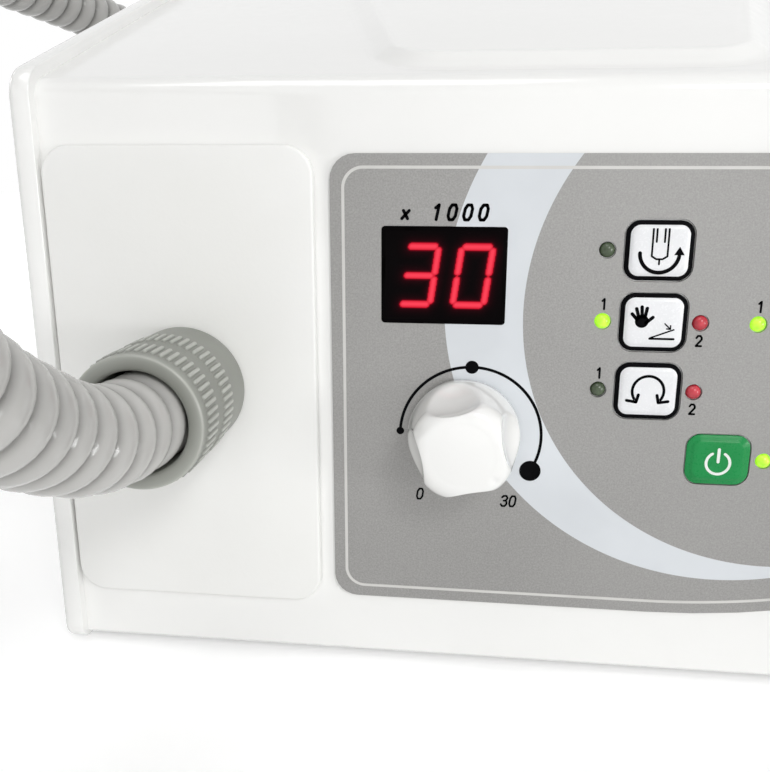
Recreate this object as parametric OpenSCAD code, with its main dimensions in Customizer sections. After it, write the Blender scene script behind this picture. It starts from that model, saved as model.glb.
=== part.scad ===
// Bench suction micromotor for foot care and dental work.
// A sloped white casing stands between two proud cheeks. A hose plate is on its left, a control panel
// on its right, and a filter, a blower and the supply are inside. The ribbed hose rises from the plate,
// passes the left side and ends in the handpiece, which lies behind the casing.
// The front faces minus Y, up is plus Z, and sizes are in millimetres.

/* [Casing] */
// Width over both cheeks
body_w = 225.7; // [220:0.1:245]
// Depth from the front face to the back of the cheeks
body_d = 185; // [178:1:205]
// Height of the front face, from its bottom edge to the crease
face_h = 122.3; // [120:0.1:132]
// Angle at which the top rises towards the back
slope_deg = 20.1; // [14:0.1:24]
// Depth of the sloped part of the top
slope_run = 118; // [112:1:126]
// Wall of the front, the slope and the top
wall = 3; // [2.4:0.1:3.6]
// Wall at the two ends of the shell, behind the cheeks
side_wall = 2.5; // [2:0.1:3]
// Radius of the crease between the front and the slope
crease_r = 4.5; // [3.5:0.5:8]
// Depth by which the rear panel stands inside the cheeks
rear_inset = 4; // [3:0.5:6]
// Thickness of the rear panel
rear_t = 2.5; // [2:0.1:3]
// Thickness of the base plate
base_t = 3; // [2.5:0.1:4]
// Height of the rubber feet under the base
foot_h = 2; // [1.5:0.1:3]
// Diameter of a rubber foot
foot_d = 14; // [10:0.5:18]

/* [Cheeks] */
// Thickness of a cheek
cheek_t = 4.6; // [3.8:0.1:5.6]
// How far the cheeks stand in front of the face
cheek_front = 2.4; // [1.5:0.1:4]
// How far the cheeks stand above the top
cheek_top = 2.4; // [1.5:0.1:4]
// Rounding of a cheek's outer edge
cheek_edge = 1.5; // [0.8:0.1:2]

/* [Raised pad] */
// Width of the raised pad at its near edge
pad_w = 74; // [60:1:90]
// Width of the raised pad at its far edge
pad_far_w = 118; // [96:1:130]
// Length of the raised pad along the slope
pad_len = 98; // [80:1:104]
// Distance of the pad from the crease, along the slope
pad_start = 7; // [6:0.5:12]
// Distance of the pad's middle from the middle of the casing
pad_x = -3; // [-6:0.5:6]
// Corner radius of the pad
pad_r = 14; // [10:1:20]
// Height of the pad above the slope
pad_h = 2.2; // [1.5:0.1:3.5]
// Width of the ramp round the pad
pad_ramp = 4.2; // [3:0.1:6]

/* [Hose plate and collar] */
// Width of the hose plate
plate_w = 55.6; // [50:0.1:58]
// Height of the hose plate
plate_h = 97.6; // [88:0.1:99]
// Thickness of the hose plate
plate_t = 2; // [1.6:0.1:2.6]
// Corner radius of the hose plate
plate_r = 6; // [3:0.5:9]
// Gap between the plate and the left cheek
plate_gap = 0.6; // [0.4:0.1:2]
// Height of the plate's bottom edge above the bottom of the face
plate_low = 12.7; // [9:0.1:14]
// Length of the hose collar in front of the plate
collar_len = 27; // [24:0.5:30]
// Diameter of the collar between its ribs
collar_d = 25.4; // [25:0.1:28]
// Gap between the hose and the collar's mouth
mouth_gap = 0.7; // [0.4:0.1:1]
// Number of grip ribs round the collar in each of its two rows
grip_count = 52; // [36:1:60]
// Height of the grip ribs above the collar
grip_rise = 0.4; // [0.2:0.05:0.6]

/* [Hose] */
// Outer diameter of the ribbed hose
hose_d = 18; // [17.5:0.1:18.2]
// Bore of the hose
hose_bore = 13.6; // [12:0.1:14]
// Depth of the valleys between the ribs
rib_depth = 1.2; // [0.5:0.1:1.3]
// Number of ribs along the hose
rib_count = 138; // [60:1:200]

/* [Control panel] */
// Height of the panel
panel_h = 94.35; // [92:0.05:97]
// Thickness of the panel
panel_t = 0.8; // [0.6:0.1:1.2]
// Corner radius of the panel
panel_r = 5; // [2:0.5:7]
// Height of the panel's bottom edge above the bottom of the face
panel_low = 14.35; // [12:0.05:15]
// Gap between the hose plate and the panel
panel_gap = 3.15; // [2:0.05:5]
// Gap between the panel and the right cheek
panel_edge = 0.85; // [0.5:0.05:2]
// Radius of the sweep of the panel's lower edge towards its right end
sweep_r = 170; // [150:5:260]
// Width of the display window
display_w = 24.75; // [22:0.05:27]
// Height of the display window
display_h = 19.3; // [17:0.1:21]
// Width of a key
key_w = 13.3; // [11.5:0.1:13.5]
// Height of a key
key_h = 12; // [10.5:0.1:12.4]
// Width of the power key
power_w = 12.9; // [11:0.1:13.5]
// Height of the power key
power_h = 11; // [9.5:0.1:12.4]
// Travel of a key
key_travel = 0.5; // [0.3:0.05:0.6]
// Distance between the rows of keys
row_pitch = 13.85; // [13.4:0.05:14.2]
// Diameter of the indicator lamps
lamp_d = 3; // [2:0.1:3.4]
// Diameter of a knob at its base
knob_d = 23; // [20:0.5:25]
// Height of a knob
knob_h = 16; // [14:0.5:18]
// Diameter of a knob's shaft
shaft_d = 6; // [5:0.1:6.4]

/* [Handpiece] */
// Length of the handpiece from the cuff's mouth to the suction hood's mouth
hand_len = 145; // [138:1:152]
// Largest diameter of the handpiece
hand_d = 26; // [25:0.5:28]
// Gap between the casing's back and the handpiece
hand_gap = 16; // [10:0.5:18]
// Diameter of the tool shank that the collet takes
shank_d = 2.35; // [1.6:0.05:3]

/* [Fits] */
// Radial clearance of a turning fit
run_fit = 0.05; // [0.02:0.01:0.1]
// Clearance between parts that are set in place
seat_fit = 0.3; // [0.2:0.05:0.4]

/* [Hidden] */
$fn = 64;
eps = 0.02;

// Casing lines
crease_z = foot_h + face_h;
top_z = crease_z + slope_run * tan(slope_deg);
inner_w = body_w - 2 * cheek_t;
cavity_w = inner_w - 2 * side_wall;
front_reach = plate_t + collar_len;
rear_reach = body_d + hand_gap + hand_d;
front_y = (front_reach - rear_reach) / 2;
back_y = front_y + body_d;
panel_back_y = back_y - rear_inset;
base_top = foot_h + base_t;
knee_r = 40;
side_radii = [2, 2, 6, knee_r, crease_r];
cheek_low = 1;

// Hose plate, spigot and collar
port_x = -inner_w / 2 + plate_gap + plate_w / 2;
port_z = foot_h + plate_low + plate_h / 2;
spigot_r = 10.5;
spigot_out = 7;
shoulder_r = 12.3;
shoulder_t = 1;
gasket_t = 1.5;
nut_t = 6;
nut_across = 27;
spigot_in = wall + gasket_t + nut_t + 6;
collar_lift = 0.3;
collar_grip_r = hose_d / 2 + mouth_gap;
grip_len = 5.6;
grip_gap = 3.8;
grip_edge = 2.4;
grip_w = 1;

// Panel layout, from the panel's own corners and centre
panel_x0 = port_x + plate_w / 2 + panel_gap;
panel_x1 = inner_w / 2 - panel_edge;
panel_cx = (panel_x0 + panel_x1) / 2;
panel_z0 = foot_h + panel_low;
panel_z1 = panel_z0 + panel_h;
sweep_x = panel_x0 + 67;
display_x = panel_x0 + 10.2 + display_w / 2;
display_z = panel_z1 - 13.7 - display_h / 2;
knob_edge = 27.4;
knob_off = (panel_x1 - panel_x0) / 2 - knob_edge;
knob_z = panel_z1 - 55.6;
column_off = 14.65;
row_top_z = panel_z1 - 17.9;
lamp_left = 9.6;
lamp_right = 8.95;
power_x = panel_cx + 0.15;
key_r = 3;
key_lift = 0.1;
stem_d = 3.6;
lamp_out = 1.6;
window_r = 0.8;

// Places of the keys and lamps as [x, z]
function row_z(row) = row_top_z - row * row_pitch;
left_column = panel_cx - column_off;
right_column = panel_cx + column_off;
key_places = [
    [left_column, row_z(0)], [left_column, row_z(1)], [left_column, row_z(2)],
    [right_column, row_z(1)], [power_x, row_z(3)]
];
green_on_places = [
    [left_column - lamp_left, row_z(1)], [right_column - lamp_left, row_z(1)],
    [power_x + lamp_right, row_z(3)]
];
green_off_places = [[left_column - lamp_left, row_z(0)], [left_column - lamp_left, row_z(2)]];
red_places = [
    [left_column + lamp_right, row_z(1)], [left_column + lamp_right, row_z(2)],
    [right_column + lamp_right, row_z(1)]
];
lamp_places = concat(green_on_places, green_off_places, red_places);
knob_places = [[panel_cx - knob_off, knob_z], [panel_cx + knob_off, knob_z]];

// Control board behind the front wall
board_front = wall + 6;
board_t = 1.6;
board_x0 = panel_x0 + 4;
board_x1 = panel_x1 - 6;
board_z0 = panel_z0 + 12;
board_z1 = panel_z1 - 2.5;
board_inset = 4.5;
boss_d = 7;
board_screw_d = 2.9;
switch_h = 3.4;
plunger_h = 0.8;
pot_r = 8.2;
pot_len = 10;
bush_r = shaft_d / 2 + 0.6;
board_corners = [
    for (x = [board_x0 + board_inset, board_x1 - board_inset])
        for (z = [board_z0 + board_inset, board_z1 - board_inset])
            [x, z]
];

// Posts that take the base screws and the rear screws
post_d = 10;
post_x = cavity_w / 2 - 4.5;
post_len = 14;
pilot_len = 11;
screw_d = 3.2;
screw_head_d = 5.6;
screw_head_h = 1.5;
screw_grip = 8;
board_screw_grip = 5;
base_post_places = [
    for (x = [-post_x, post_x], y = [front_y + wall + 12, panel_back_y - rear_t - 32]) [x, y]
];
rear_post_places = [for (x = [-post_x, post_x], z = [foot_h + 16, top_z - 18]) [x, z]];
foot_places = [for (x = [-1, 1] * (body_w / 2 - 24), y = [front_y + 22, back_y - 24]) [x, y]];

// Filter box and blower
filter_w = 51;
filter_d = 80;
filter_h = 88;
filter_wall = 2;
filter_low = 15;
filter_x = port_x;
filter_y = front_y + spigot_in - filter_wall;
filter_z = base_top + filter_low;
lid_t = 2.5;
pleats = 9;
duct_r = 15;
seal_t = 5;
seal_r = 20;
blower_r = 42;
blower_len = 34;
blower_wall = 2.5;
blower_gap = 1.5;
blower_rise = 53;
blower_x = -cavity_w / 2 + blower_r + blower_gap;
blower_y = filter_y + filter_d + seal_t;
blower_z = base_top + blower_rise;
leg_w = 36;
leg_in = 8;
leg_edge = 4;
outlet_len = 52;
outlet_h = 24;
outlet_edge = 2;
wheel_r = 34;
hub_r = 9;
wheel_front = 8;
wheel_back = 28;
wheel_disc = 2;
blade_count = 9;
blade_t = 1.4;
blade_sweep = 55;
motor_r = 25;
motor_len = 40;
motor_step = 4;
motor_cap = 6;
shaft_grip = 24;
blower_shaft_r = 2.5;

// Supply
supply_w = 84;
supply_d = 92;
supply_gap = 5.75;
supply_x = cavity_w / 2 - supply_gap - supply_w / 2;
supply_y = -10;
supply_lift = 7;
supply_t = 1.6;
supply_post_r = 3.5;
supply_post_in = 5;
core_w = 42;
core_d = 26;
core_h = 34;
coil_w = 28;
coil_d = 40;
coil_h = 24;
cap_r = 7;
cap_h = 24;
cap_pitch = 26;
cap_off = 34;

// Rear sockets
inlet_edge = 37.75;
inlet_x = cavity_w / 2 - inlet_edge;
inlet_z = foot_h + 40;
inlet_w = 24.4;
inlet_h = 16.6;
inlet_wall = 1.5;
inlet_depth = 16;
inlet_flange = 2;
jack_pitch = 46;
jack_x = inlet_x - jack_pitch;
jack_z = inlet_z;
jack_bore_r = 3.2;
jack_bush_r = 6;
jack_out = 2.5;
jack_len = 24;
slot_count = 12;
slot_pitch = 7;
slot_w = 70;
slot_h = 4;

// Handpiece, from the cuff's mouth towards the tool
hand_x = 40;
hand_y = back_y + hand_gap + hand_d / 2;
hand_z = hand_d / 2;
cuff_grip = 16;
cuff_len = 28;
cuff_r = 11.5;
tail_r = 7.9;
neck_r = 9.9;
ring_len = 14;
nose_len = 24;
hood_len = 17;
hood_over = 6;
spindle_r = 3.5;
spindle_out = 6;
nose_tip_r = 8;
barrel_end = hand_len - hood_len + hood_over - nose_len - ring_len - 2 * seat_fit;
ring_start = barrel_end + seat_fit;
nose_start = ring_start + ring_len + seat_fit;
nose_end = nose_start + nose_len;

// Hose route, a point every few hose diameters, from the spigot to the handpiece's cuff
hose_route = [
    [port_x, front_y - plate_t - spigot_out - seat_fit, port_z], [port_x, front_y - front_reach, port_z],
    [-80, -144.5, 66], [-80.5, -160.5, 73], [-78.5, -182, 85.5], [-77, -209.5, 112],
    [-83.5, -227.5, 141.5], [-97, -232.5, 168.5], [-117.5, -226.5, 190], [-144, -208.5, 206.5],
    [-167.5, -187, 214], [-186, -159.5, 213.5], [-198, -129.5, 207], [-205.5, -99, 198],
    [-208, -67, 189], [-206.5, -35, 182], [-202, -2.5, 177], [-194.5, 29.5, 173.5],
    [-185, 61, 170], [-174, 91.5, 165], [-161.5, 121, 157.5], [-148, 149.5, 146],
    [-134, 175, 131], [-119, 197, 111.5], [-102.5, 215, 89.5], [-84, 230, 66.5],
    [-62.5, 243, 45], [-37, 253.5, 27], [-7, 261, 15], [25, 265.5, 10],
    [58, 266, 9.5], [90, 259.5, 9.5], [117.5, 241, 9.5], [134.5, 213, 9.5],
    [137.5, 181.5, 9.5], [126.5, 151, 10], [103.5, 128.5, 11.5], [73, 117, 12.5],
    [hand_x, hand_y, hand_z], [hand_x - cuff_grip, hand_y, hand_z]
];
hose_steps = 10;
hose_sides = 8;

// Unit vector
function unit(v) = v / norm(v);

// Outline with every corner turned into an arc of its own radius
function rounded(pts, radii, steps = 6) = [
    for (i = [0:len(pts) - 1])
        let (
            p = pts[i],
            u = unit(pts[(i + len(pts) - 1) % len(pts)] - p),
            v = unit(pts[(i + 1) % len(pts)] - p),
            half = acos(u * v) / 2,
            r = radii[i]
        )
        each (r <= 0 ? [p] : corner_arc(p, u, v, half, r, steps))
];
function corner_arc(p, u, v, half, r, steps) =
    let (
        c = p + unit(u + v) * r / sin(half),
        from = p + u * r / tan(half) - c,
        to = p + v * r / tan(half) - c,
        start = atan2(from.y, from.x),
        turn = atan2(cross(from, to), from * to)
    )
    [for (k = [0:steps]) c + r * [cos(start + turn * k / steps), sin(start + turn * k / steps)]];
function rounded_box(w, h, r, steps = 6) =
    rounded([[-w, -h] / 2, [w, -h] / 2, [w, h] / 2, [-w, h] / 2], [r, r, r, r], steps);

// Side view of the casing as [depth, height], with its front, top, back and bottom lines moved
function side_outline(front, up, back, bottom, radii) =
    let (
        rise = tan(slope_deg),
        lift = up / cos(slope_deg),
        knee = (top_z + up - crease_z - lift) / rise
    )
    rounded([
        [front, bottom], [back, bottom], [back, top_z + up], [knee, top_z + up],
        [front, crease_z + front * rise + lift]
    ], radii);

// Point on the slope: across, along the slope from the crease, and above it
function slope_point(x, along, above) = [
    x,
    front_y + along * cos(slope_deg) - above * sin(slope_deg),
    crease_z + along * sin(slope_deg) + above * cos(slope_deg)
];

// Closed solid through rings of equal length, stacked so that each ring turns left about the way up
module loft(rings) {
    n = len(rings[0]);
    m = len(rings);
    points = [for (ring = rings) each ring];
    sides = [
        for (j = [0:m - 2], i = [0:n - 1])
            let (a = j * n + i, b = j * n + (i + 1) % n)
            each [[a, a + n, b], [b, a + n, b + n]]
    ];
    caps = [[for (i = [0:n - 1]) i], [for (i = [n - 1:-1:0]) (m - 1) * n + i]];
    polyhedron(points, concat(sides, caps), convexity = 4);
}

// Places a shape on the front face: its Z points out of the face and its Y points up
module on_front(x, z) {
    translate([x, front_y, z]) rotate([90, 0, 0]) children();
}

// Places a shape on the rear panel: its Z points out of the back and its Y points up
module on_back(x, z) {
    translate([x, panel_back_y, z]) rotate([90, 0, 180]) children();
}

// Places a shape with its Z along the depth
module along_depth(x, y, z) {
    translate([x, y, z]) rotate([-90, 0, 0]) children();
}

// Places a handpiece shape, with its Z from the cuff towards the tool
module on_handpiece() {
    translate([hand_x, hand_y, hand_z]) rotate([0, -90, 0]) children();
}

// Cylinder between two heights
module rod(r, from, to) {
    translate([0, 0, from]) cylinder(r = r, h = to - from);
}

// Round-cornered slab between two heights
module slab(w, h, r, from, to) {
    translate([0, 0, from]) linear_extrude(to - from) polygon(rounded_box(w, h, r));
}

// Casing bar of a side outline, centred across the width
module side_bar(outline, width) {
    translate([-width / 2, front_y, 0]) rotate([90, 0, 90]) linear_extrude(width) polygon(outline);
}

// Outline of the raised pad moved inwards, as [across, along] from its near edge
function pad_outline(inset) =
    let (
        lean = atan((pad_far_w - pad_w) / 2 / pad_len),
        side = inset / cos(lean),
        near = pad_w / 2 + inset * tan(lean) - side,
        far = pad_far_w / 2 - inset * tan(lean) - side,
        r = pad_r - inset
    )
    rounded(
        [[-near, inset], [near, inset], [far, pad_len - inset], [-far, pad_len - inset]], [r, r, r, r], 8
    );

// Raised pad with a ramp all round, its foot a little inside the slope
module raised_pad() {
    edge = [
        [0, -1], [0, 0.1], [0.3 * pad_ramp, 0.28 * pad_h], [0.88 * pad_ramp, 0.94 * pad_h], [pad_ramp, pad_h]
    ];
    loft([
        for (e = edge) [for (p = pad_outline(e[0])) slope_point(pad_x + p.x, pad_start + p.y, e[1])]
    ]);
}

module main_shell() color("#F7F7F5") {
    difference() {
        union() {
            difference() {
                side_bar(side_outline(0, 0, body_d - rear_inset, foot_h, side_radii), inner_w);
                side_bar(
                    side_outline(wall, -wall, body_d, foot_h - 1, [0, 0, 0, knee_r - wall, crease_r - wall]),
                    cavity_w
                );
            }
            raised_pad();
            for (c = board_corners) on_front(c.x, c.y) rod(boss_d / 2, -board_front, -wall + eps);
            for (p = base_post_places)
                translate([p.x, p.y, 0]) rod(post_d / 2, base_top, base_top + post_len);
            for (p = rear_post_places) on_back(p.x, p.y) rod(post_d / 2, -rear_t - post_len, -rear_t);
        }
        on_front(port_x, port_z) rod(spigot_r + 0.2, -wall - 1, 1);
        on_front(display_x, display_z) slab(display_w, display_h, window_r, -wall - 1, 1);
        for (p = key_places) on_front(p.x, p.y) rod(stem_d / 2 + seat_fit, -wall - 1, 1);
        for (p = lamp_places) on_front(p.x, p.y) rod(lamp_d / 2 + 0.15, -wall - 1, 1);
        for (p = knob_places) on_front(p.x, p.y) rod(bush_r + 0.2, -wall - 1, 1);
        for (c = board_corners)
            on_front(c.x, c.y) rod(board_screw_d / 2 + run_fit, -board_front - 1, -wall);
        for (p = base_post_places)
            translate([p.x, p.y, 0]) rod(screw_d / 2 + run_fit, base_top - 1, base_top + pilot_len);
        for (p = rear_post_places)
            on_back(p.x, p.y) rod(screw_d / 2 + run_fit, -rear_t - pilot_len, -rear_t + 1);
    }
}

// Cheek on the right side: the casing's side view made larger, with its outer edge rolled
module cheek() {
    radii = [4, 4, 12, knee_r + cheek_top, crease_r + cheek_top];
    edge = [
        [0, 0], [cheek_t - cheek_edge, 0],
        [cheek_t - 0.35 * cheek_edge, 0.3 * cheek_edge], [cheek_t, cheek_edge]
    ];
    loft([
        for (e = edge) [
            for (p = side_outline(e[1] - cheek_front, cheek_top - e[1], body_d - e[1], cheek_low + e[1],
                                  [for (r = radii) r - e[1]]))
                [inner_w / 2 + e[0], front_y + p.x, p.y]
        ]
    ]);
}

module left_cheek() color("#F9F9F8") mirror([1, 0, 0]) cheek();

module right_cheek() color("#F9F9F8") cheek();

module base_plate() color("#D8D8D4") {
    plate_x = cavity_w / 2 - seat_fit;
    y0 = front_y + wall + seat_fit;
    y1 = panel_back_y - rear_t - seat_fit;
    difference() {
        union() {
            translate([-plate_x, y0, foot_h]) cube([2 * plate_x, y1 - y0, base_t]);
            for (y = [filter_y + 12, filter_y + filter_d - 20])
                translate([filter_x - filter_w / 2 + 8, y, base_top - eps])
                    cube([filter_w - 16, 8, filter_low + eps]);
            for (x = [-1, 1] * (supply_w / 2 - supply_post_in), y = [-1, 1] * (supply_d / 2 - supply_post_in))
                translate([supply_x + x, supply_y + y, 0])
                    rod(supply_post_r, base_top - eps, base_top + supply_lift);
        }
        for (p = base_post_places) translate([p.x, p.y, 0]) {
            rod(screw_d / 2 + 0.2, foot_h - 1, base_top + 1);
            rod(screw_head_d / 2 + 0.25, foot_h - 1, foot_h + screw_head_h + 0.1);
        }
        for (p = foot_places) translate([p.x, p.y, 0]) rod(2.5, foot_h - 1, base_top + 1);
    }
}

module rubber_feet() color("#2B2B2C") {
    for (p = foot_places) translate([p.x, p.y, 0]) {
        rod(foot_d / 2, 0, foot_h);
        rod(2.4, foot_h - eps, base_top);
    }
}

// Pan-head screw along Z, its head's underside at zero
module screw(d, head_d, head_h, length) {
    difference() {
        union() {
            rod(head_d / 2, -head_h, 0);
            rod(d / 2, -eps, length);
        }
        for (a = [0, 90])
            rotate(a) translate([-0.3 * head_d, -0.4, -head_h - 1]) cube([0.6 * head_d, 0.8, 1.7]);
    }
}

module base_screws() color("#A8A9AB") {
    for (p = base_post_places)
        translate([p.x, p.y, foot_h + screw_head_h + 0.1])
            screw(screw_d, screw_head_d, screw_head_h, screw_grip + base_t / 2);
}

module rear_screws() color("#A8A9AB") {
    for (p = rear_post_places)
        on_back(p.x, p.y) mirror([0, 0, 1]) screw(screw_d, screw_head_d, screw_head_h, rear_t + screw_grip);
}

module rear_panel() color("#EDEDEA") {
    x = cavity_w / 2 - seat_fit;
    low = foot_h;
    high = top_z - wall - seat_fit;
    cut_w = inlet_w + 2 * inlet_wall + 0.4;
    cut_h = inlet_h + 2 * inlet_wall + 0.4;
    difference() {
        on_back(0, 0) translate([-x, low, -rear_t]) cube([2 * x, high - low, rear_t]);
        for (p = rear_post_places) on_back(p.x, p.y) rod(screw_d / 2 + 0.2, -rear_t - 1, 1);
        on_back(inlet_x, inlet_z) slab(cut_w, cut_h, 1.5, -rear_t - 1, 1);
        on_back(jack_x, jack_z) rod(jack_bush_r + 0.2, -rear_t - 1, 1);
        on_back(blower_x, blower_z + 22)
            for (i = [0:slot_count - 1])
                slotted(slot_w, slot_h, (i - (slot_count - 1) / 2) * slot_pitch);
    }
}

// One vent slot through the rear panel, with round ends
module slotted(w, h, rise) {
    translate([-w / 2 + h / 2, rise - h / 2, -rear_t - 1]) cube([w - h, h, rear_t + 2]);
    for (s = [-1, 1]) translate([s * (w - h) / 2, rise, 0]) rod(h / 2, -rear_t - 1, 1);
}

// Mouth of the mains inlet: two of its corners are cut off
function inlet_mouth() =
    let (w = inlet_w / 2, h = inlet_h / 2, cut = 4)
    [[-w, -h], [w, -h], [w, h - cut], [w - cut, h], [cut - w, h], [-w, h - cut]];

module mains_inlet() color("#222324") on_back(inlet_x, inlet_z) difference() {
    union() {
        slab(inlet_w + 2 * inlet_wall + 4, inlet_h + 2 * inlet_wall + 4, 2, 0, inlet_flange);
        slab(inlet_w + 2 * inlet_wall, inlet_h + 2 * inlet_wall, 1.4, -inlet_depth - 4, eps);
    }
    translate([0, 0, -inlet_depth]) linear_extrude(inlet_depth + inlet_flange + 1) polygon(inlet_mouth());
}

module inlet_pins() color("#C9C6B8") on_back(inlet_x, inlet_z)
    for (p = [[-7, -1.5], [0, 2], [7, -1.5]])
        translate([p.x - 1, p.y - 2, -inlet_depth]) cube([2, 4, 10]);

module pedal_jack() color("#2C2D2F") on_back(jack_x, jack_z) difference() {
    union() {
        slab(18, 18, 1.5, -rear_t - jack_len, -rear_t);
        rod(jack_bush_r, -rear_t - eps, jack_out);
    }
    rod(jack_bore_r, -rear_t - jack_len + 2, jack_out + 1);
}

module hose_plate() color("#F3F3F0") on_front(port_x, port_z) difference() {
    slab(plate_w, plate_h, plate_r, 0, plate_t);
    rod(spigot_r + 0.2, -1, plate_t + 1);
    rod(shoulder_r + 0.1, -1, shoulder_t + 0.1);
}

module hose_spigot() color("#8B8D88") on_front(port_x, port_z) difference() {
    union() {
        rod(spigot_r, -spigot_in, plate_t + spigot_out);
        rod(shoulder_r, 0, shoulder_t);
    }
    rod(hose_bore / 2, -spigot_in - 1, plate_t + spigot_out + 1);
}

module spigot_gasket() color("#3A3A3A") on_front(port_x, port_z) difference() {
    rod(nut_across / 2 + 2, -wall - gasket_t, -wall);
    rod(spigot_r + 0.2, -wall - gasket_t - 1, 1);
}

module spigot_nut() color("#9A9B98") on_front(port_x, port_z) difference() {
    translate([0, 0, -wall - gasket_t - nut_t]) cylinder(d = nut_across / cos(30), h = nut_t, $fn = 6);
    rod(spigot_r + run_fit, -wall - gasket_t - nut_t - 1, 1);
}

// Grip rib on the collar, with its front end sloped off
module grip_rib(r, end) {
    translate([0, grip_w / 2, 0]) rotate([90, 0, 0]) linear_extrude(grip_w) polygon([
        [r - 1, end - grip_len], [r + grip_rise, end - grip_len], [r + grip_rise, end - grip_rise],
        [r, end], [r - 1, end]
    ]);
}

// Quarter-turn collar over the spigot, with two rows of grip ribs
module hose_collar() color("#9A9C95") on_front(port_x, port_z) union() {
    from = plate_t + collar_lift;
    to = plate_t + collar_len;
    r = collar_d / 2;
    seat = plate_t + spigot_out + collar_lift;
    rotate_extrude() polygon([
        [spigot_r + run_fit, from], [r - 0.5, from], [r, from + 0.5], [r, to - 0.4], [r - 0.4, to],
        [collar_grip_r + 0.6, to], [collar_grip_r, to - 0.6], [collar_grip_r, seat],
        [spigot_r + run_fit, seat]
    ]);
    for (row = [0, 1], i = [0:grip_count - 1])
        rotate(i * 360 / grip_count) grip_rib(r, to - grip_edge - row * (grip_len + grip_gap));
}

module filter_box() color("#6E7276") difference() {
    translate([filter_x - filter_w / 2, filter_y, filter_z]) cube([filter_w, filter_d, filter_h]);
    translate([filter_x - filter_w / 2 + filter_wall, filter_y + filter_wall, filter_z + filter_wall])
        cube([filter_w - 2 * filter_wall, filter_d - 2 * filter_wall, filter_h]);
    on_front(port_x, port_z) rod(spigot_r + 0.2, -spigot_in - 1, 0);
    along_depth(blower_x, filter_y + filter_d, blower_z) rod(duct_r, -filter_wall - 1, 1);
}

// Folded filter: a zigzag sheet on edge
module filter_pleats() color("#E9E6DA") {
    w = filter_w - 2 * filter_wall - 2 * seat_fit;
    d = 26;
    fold = w / (2 * pleats);
    sheet = 1;
    front = [for (i = [0:2 * pleats]) [i * fold, i % 2 == 0 ? 0 : d]];
    back = [for (i = [2 * pleats:-1:0]) [i * fold, (i % 2 == 0 ? 0 : d) + sheet * d / fold * 0.6]];
    translate([filter_x - w / 2, filter_y + 16, filter_z + filter_wall])
        linear_extrude(filter_h - filter_wall - 6) polygon(concat(front, back));
}

module filter_lid() color("#5F6367") translate([filter_x, filter_y + filter_d / 2, filter_z + filter_h]) {
    w = filter_w - 2 * filter_wall - 2 * seat_fit;
    d = filter_d - 2 * filter_wall - 2 * seat_fit;
    slab(filter_w, filter_d, 2, 0, lid_t);
    slab(w, d, 2, -3, eps);
}

module duct_seal() color("#333334") along_depth(blower_x, filter_y + filter_d, blower_z) difference() {
    rod(seal_r, 0, seal_t);
    rod(duct_r, -1, seal_t + 1);
}

module blower_housing() color("#4A4E52") along_depth(blower_x, blower_y, blower_z) difference() {
    union() {
        rod(blower_r, 0, blower_len);
        translate([0, -blower_r, outlet_edge]) cube([outlet_len, outlet_h, blower_len - 2 * outlet_edge]);
        translate([-leg_w / 2, blower_r - leg_in, leg_edge])
            cube([leg_w, blower_rise - blower_r + leg_in, blower_len - 2 * leg_edge]);
    }
    rod(blower_r - blower_wall, blower_wall, blower_len - blower_wall);
    translate([0, blower_wall - blower_r, outlet_edge + blower_wall])
        cube([outlet_len + 1, outlet_h - 2 * blower_wall, blower_len - 2 * outlet_edge - 2 * blower_wall]);
    rod(duct_r, -1, blower_wall + 1);
    rod(blower_shaft_r + 1.5, blower_len - blower_wall - 1, blower_len + 1);
}

// Backward-curved blade from the hub to the rim, by its share of the way out
function blade_mid(share) =
    (hub_r - 2 + (wheel_r - hub_r + 0.5) * share) * [cos(blade_sweep * share), sin(blade_sweep * share)];
function blade_side(share) =
    let (way = unit(blade_mid(share + 0.01) - blade_mid(share - 0.01)))
    [-way.y, way.x];
function blade_outline() =
    let (
        steps = 8,
        mid = [for (k = [0:steps]) blade_mid(k / steps)],
        side = [for (k = [0:steps]) blade_side(k / steps)]
    )
    concat(
        [for (k = [0:steps]) mid[k] - side[k] * blade_t / 2],
        [for (k = [steps:-1:0]) mid[k] + side[k] * blade_t / 2]
    );

module blower_impeller() color("#B9BCBE") along_depth(blower_x, blower_y, blower_z) difference() {
    union() {
        rod(wheel_r, wheel_back - wheel_disc, wheel_back);
        rod(hub_r, wheel_front, wheel_back);
        for (i = [0:blade_count - 1])
            rotate(i * 360 / blade_count) translate([0, 0, wheel_front + 1])
                linear_extrude(wheel_back - wheel_disc / 2 - wheel_front - 1) polygon(blade_outline());
    }
    rod(blower_shaft_r + eps, wheel_front - 1, wheel_back + 1);
}

module blower_shaft() color("#C4C6C8") along_depth(blower_x, blower_y, blower_z)
    rod(blower_shaft_r, wheel_front, blower_len + shaft_grip);

module blower_motor() color("#A3A6A8") along_depth(blower_x, blower_y, blower_z) difference() {
    union() {
        rod(motor_r, blower_len, blower_len + motor_len - motor_step);
        rod(motor_r - motor_cap, blower_len, blower_len + motor_len);
    }
    rod(blower_shaft_r + run_fit, blower_len - 1, blower_len + shaft_grip + 2);
}

// Panel outline: round corners, and a lower edge that sweeps up towards the right end
function panel_outline() =
    let (
        reach = panel_x1 - sweep_x,
        turn = asin(reach / sweep_r),
        steps = 10,
        sweep = [for (k = [0:steps - 1]) [sweep_x + sweep_r * sin(turn * k / steps),
                                          panel_z0 + sweep_r * (1 - cos(turn * k / steps))]],
        end = [panel_x1, panel_z0 + sweep_r * (1 - cos(turn))]
    )
    rounded(concat([[panel_x0, panel_z0]], sweep, [end, [panel_x1, panel_z1], [panel_x0, panel_z1]]),
            concat([panel_r], [for (p = sweep) 0], [2, panel_r, panel_r]));

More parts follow.
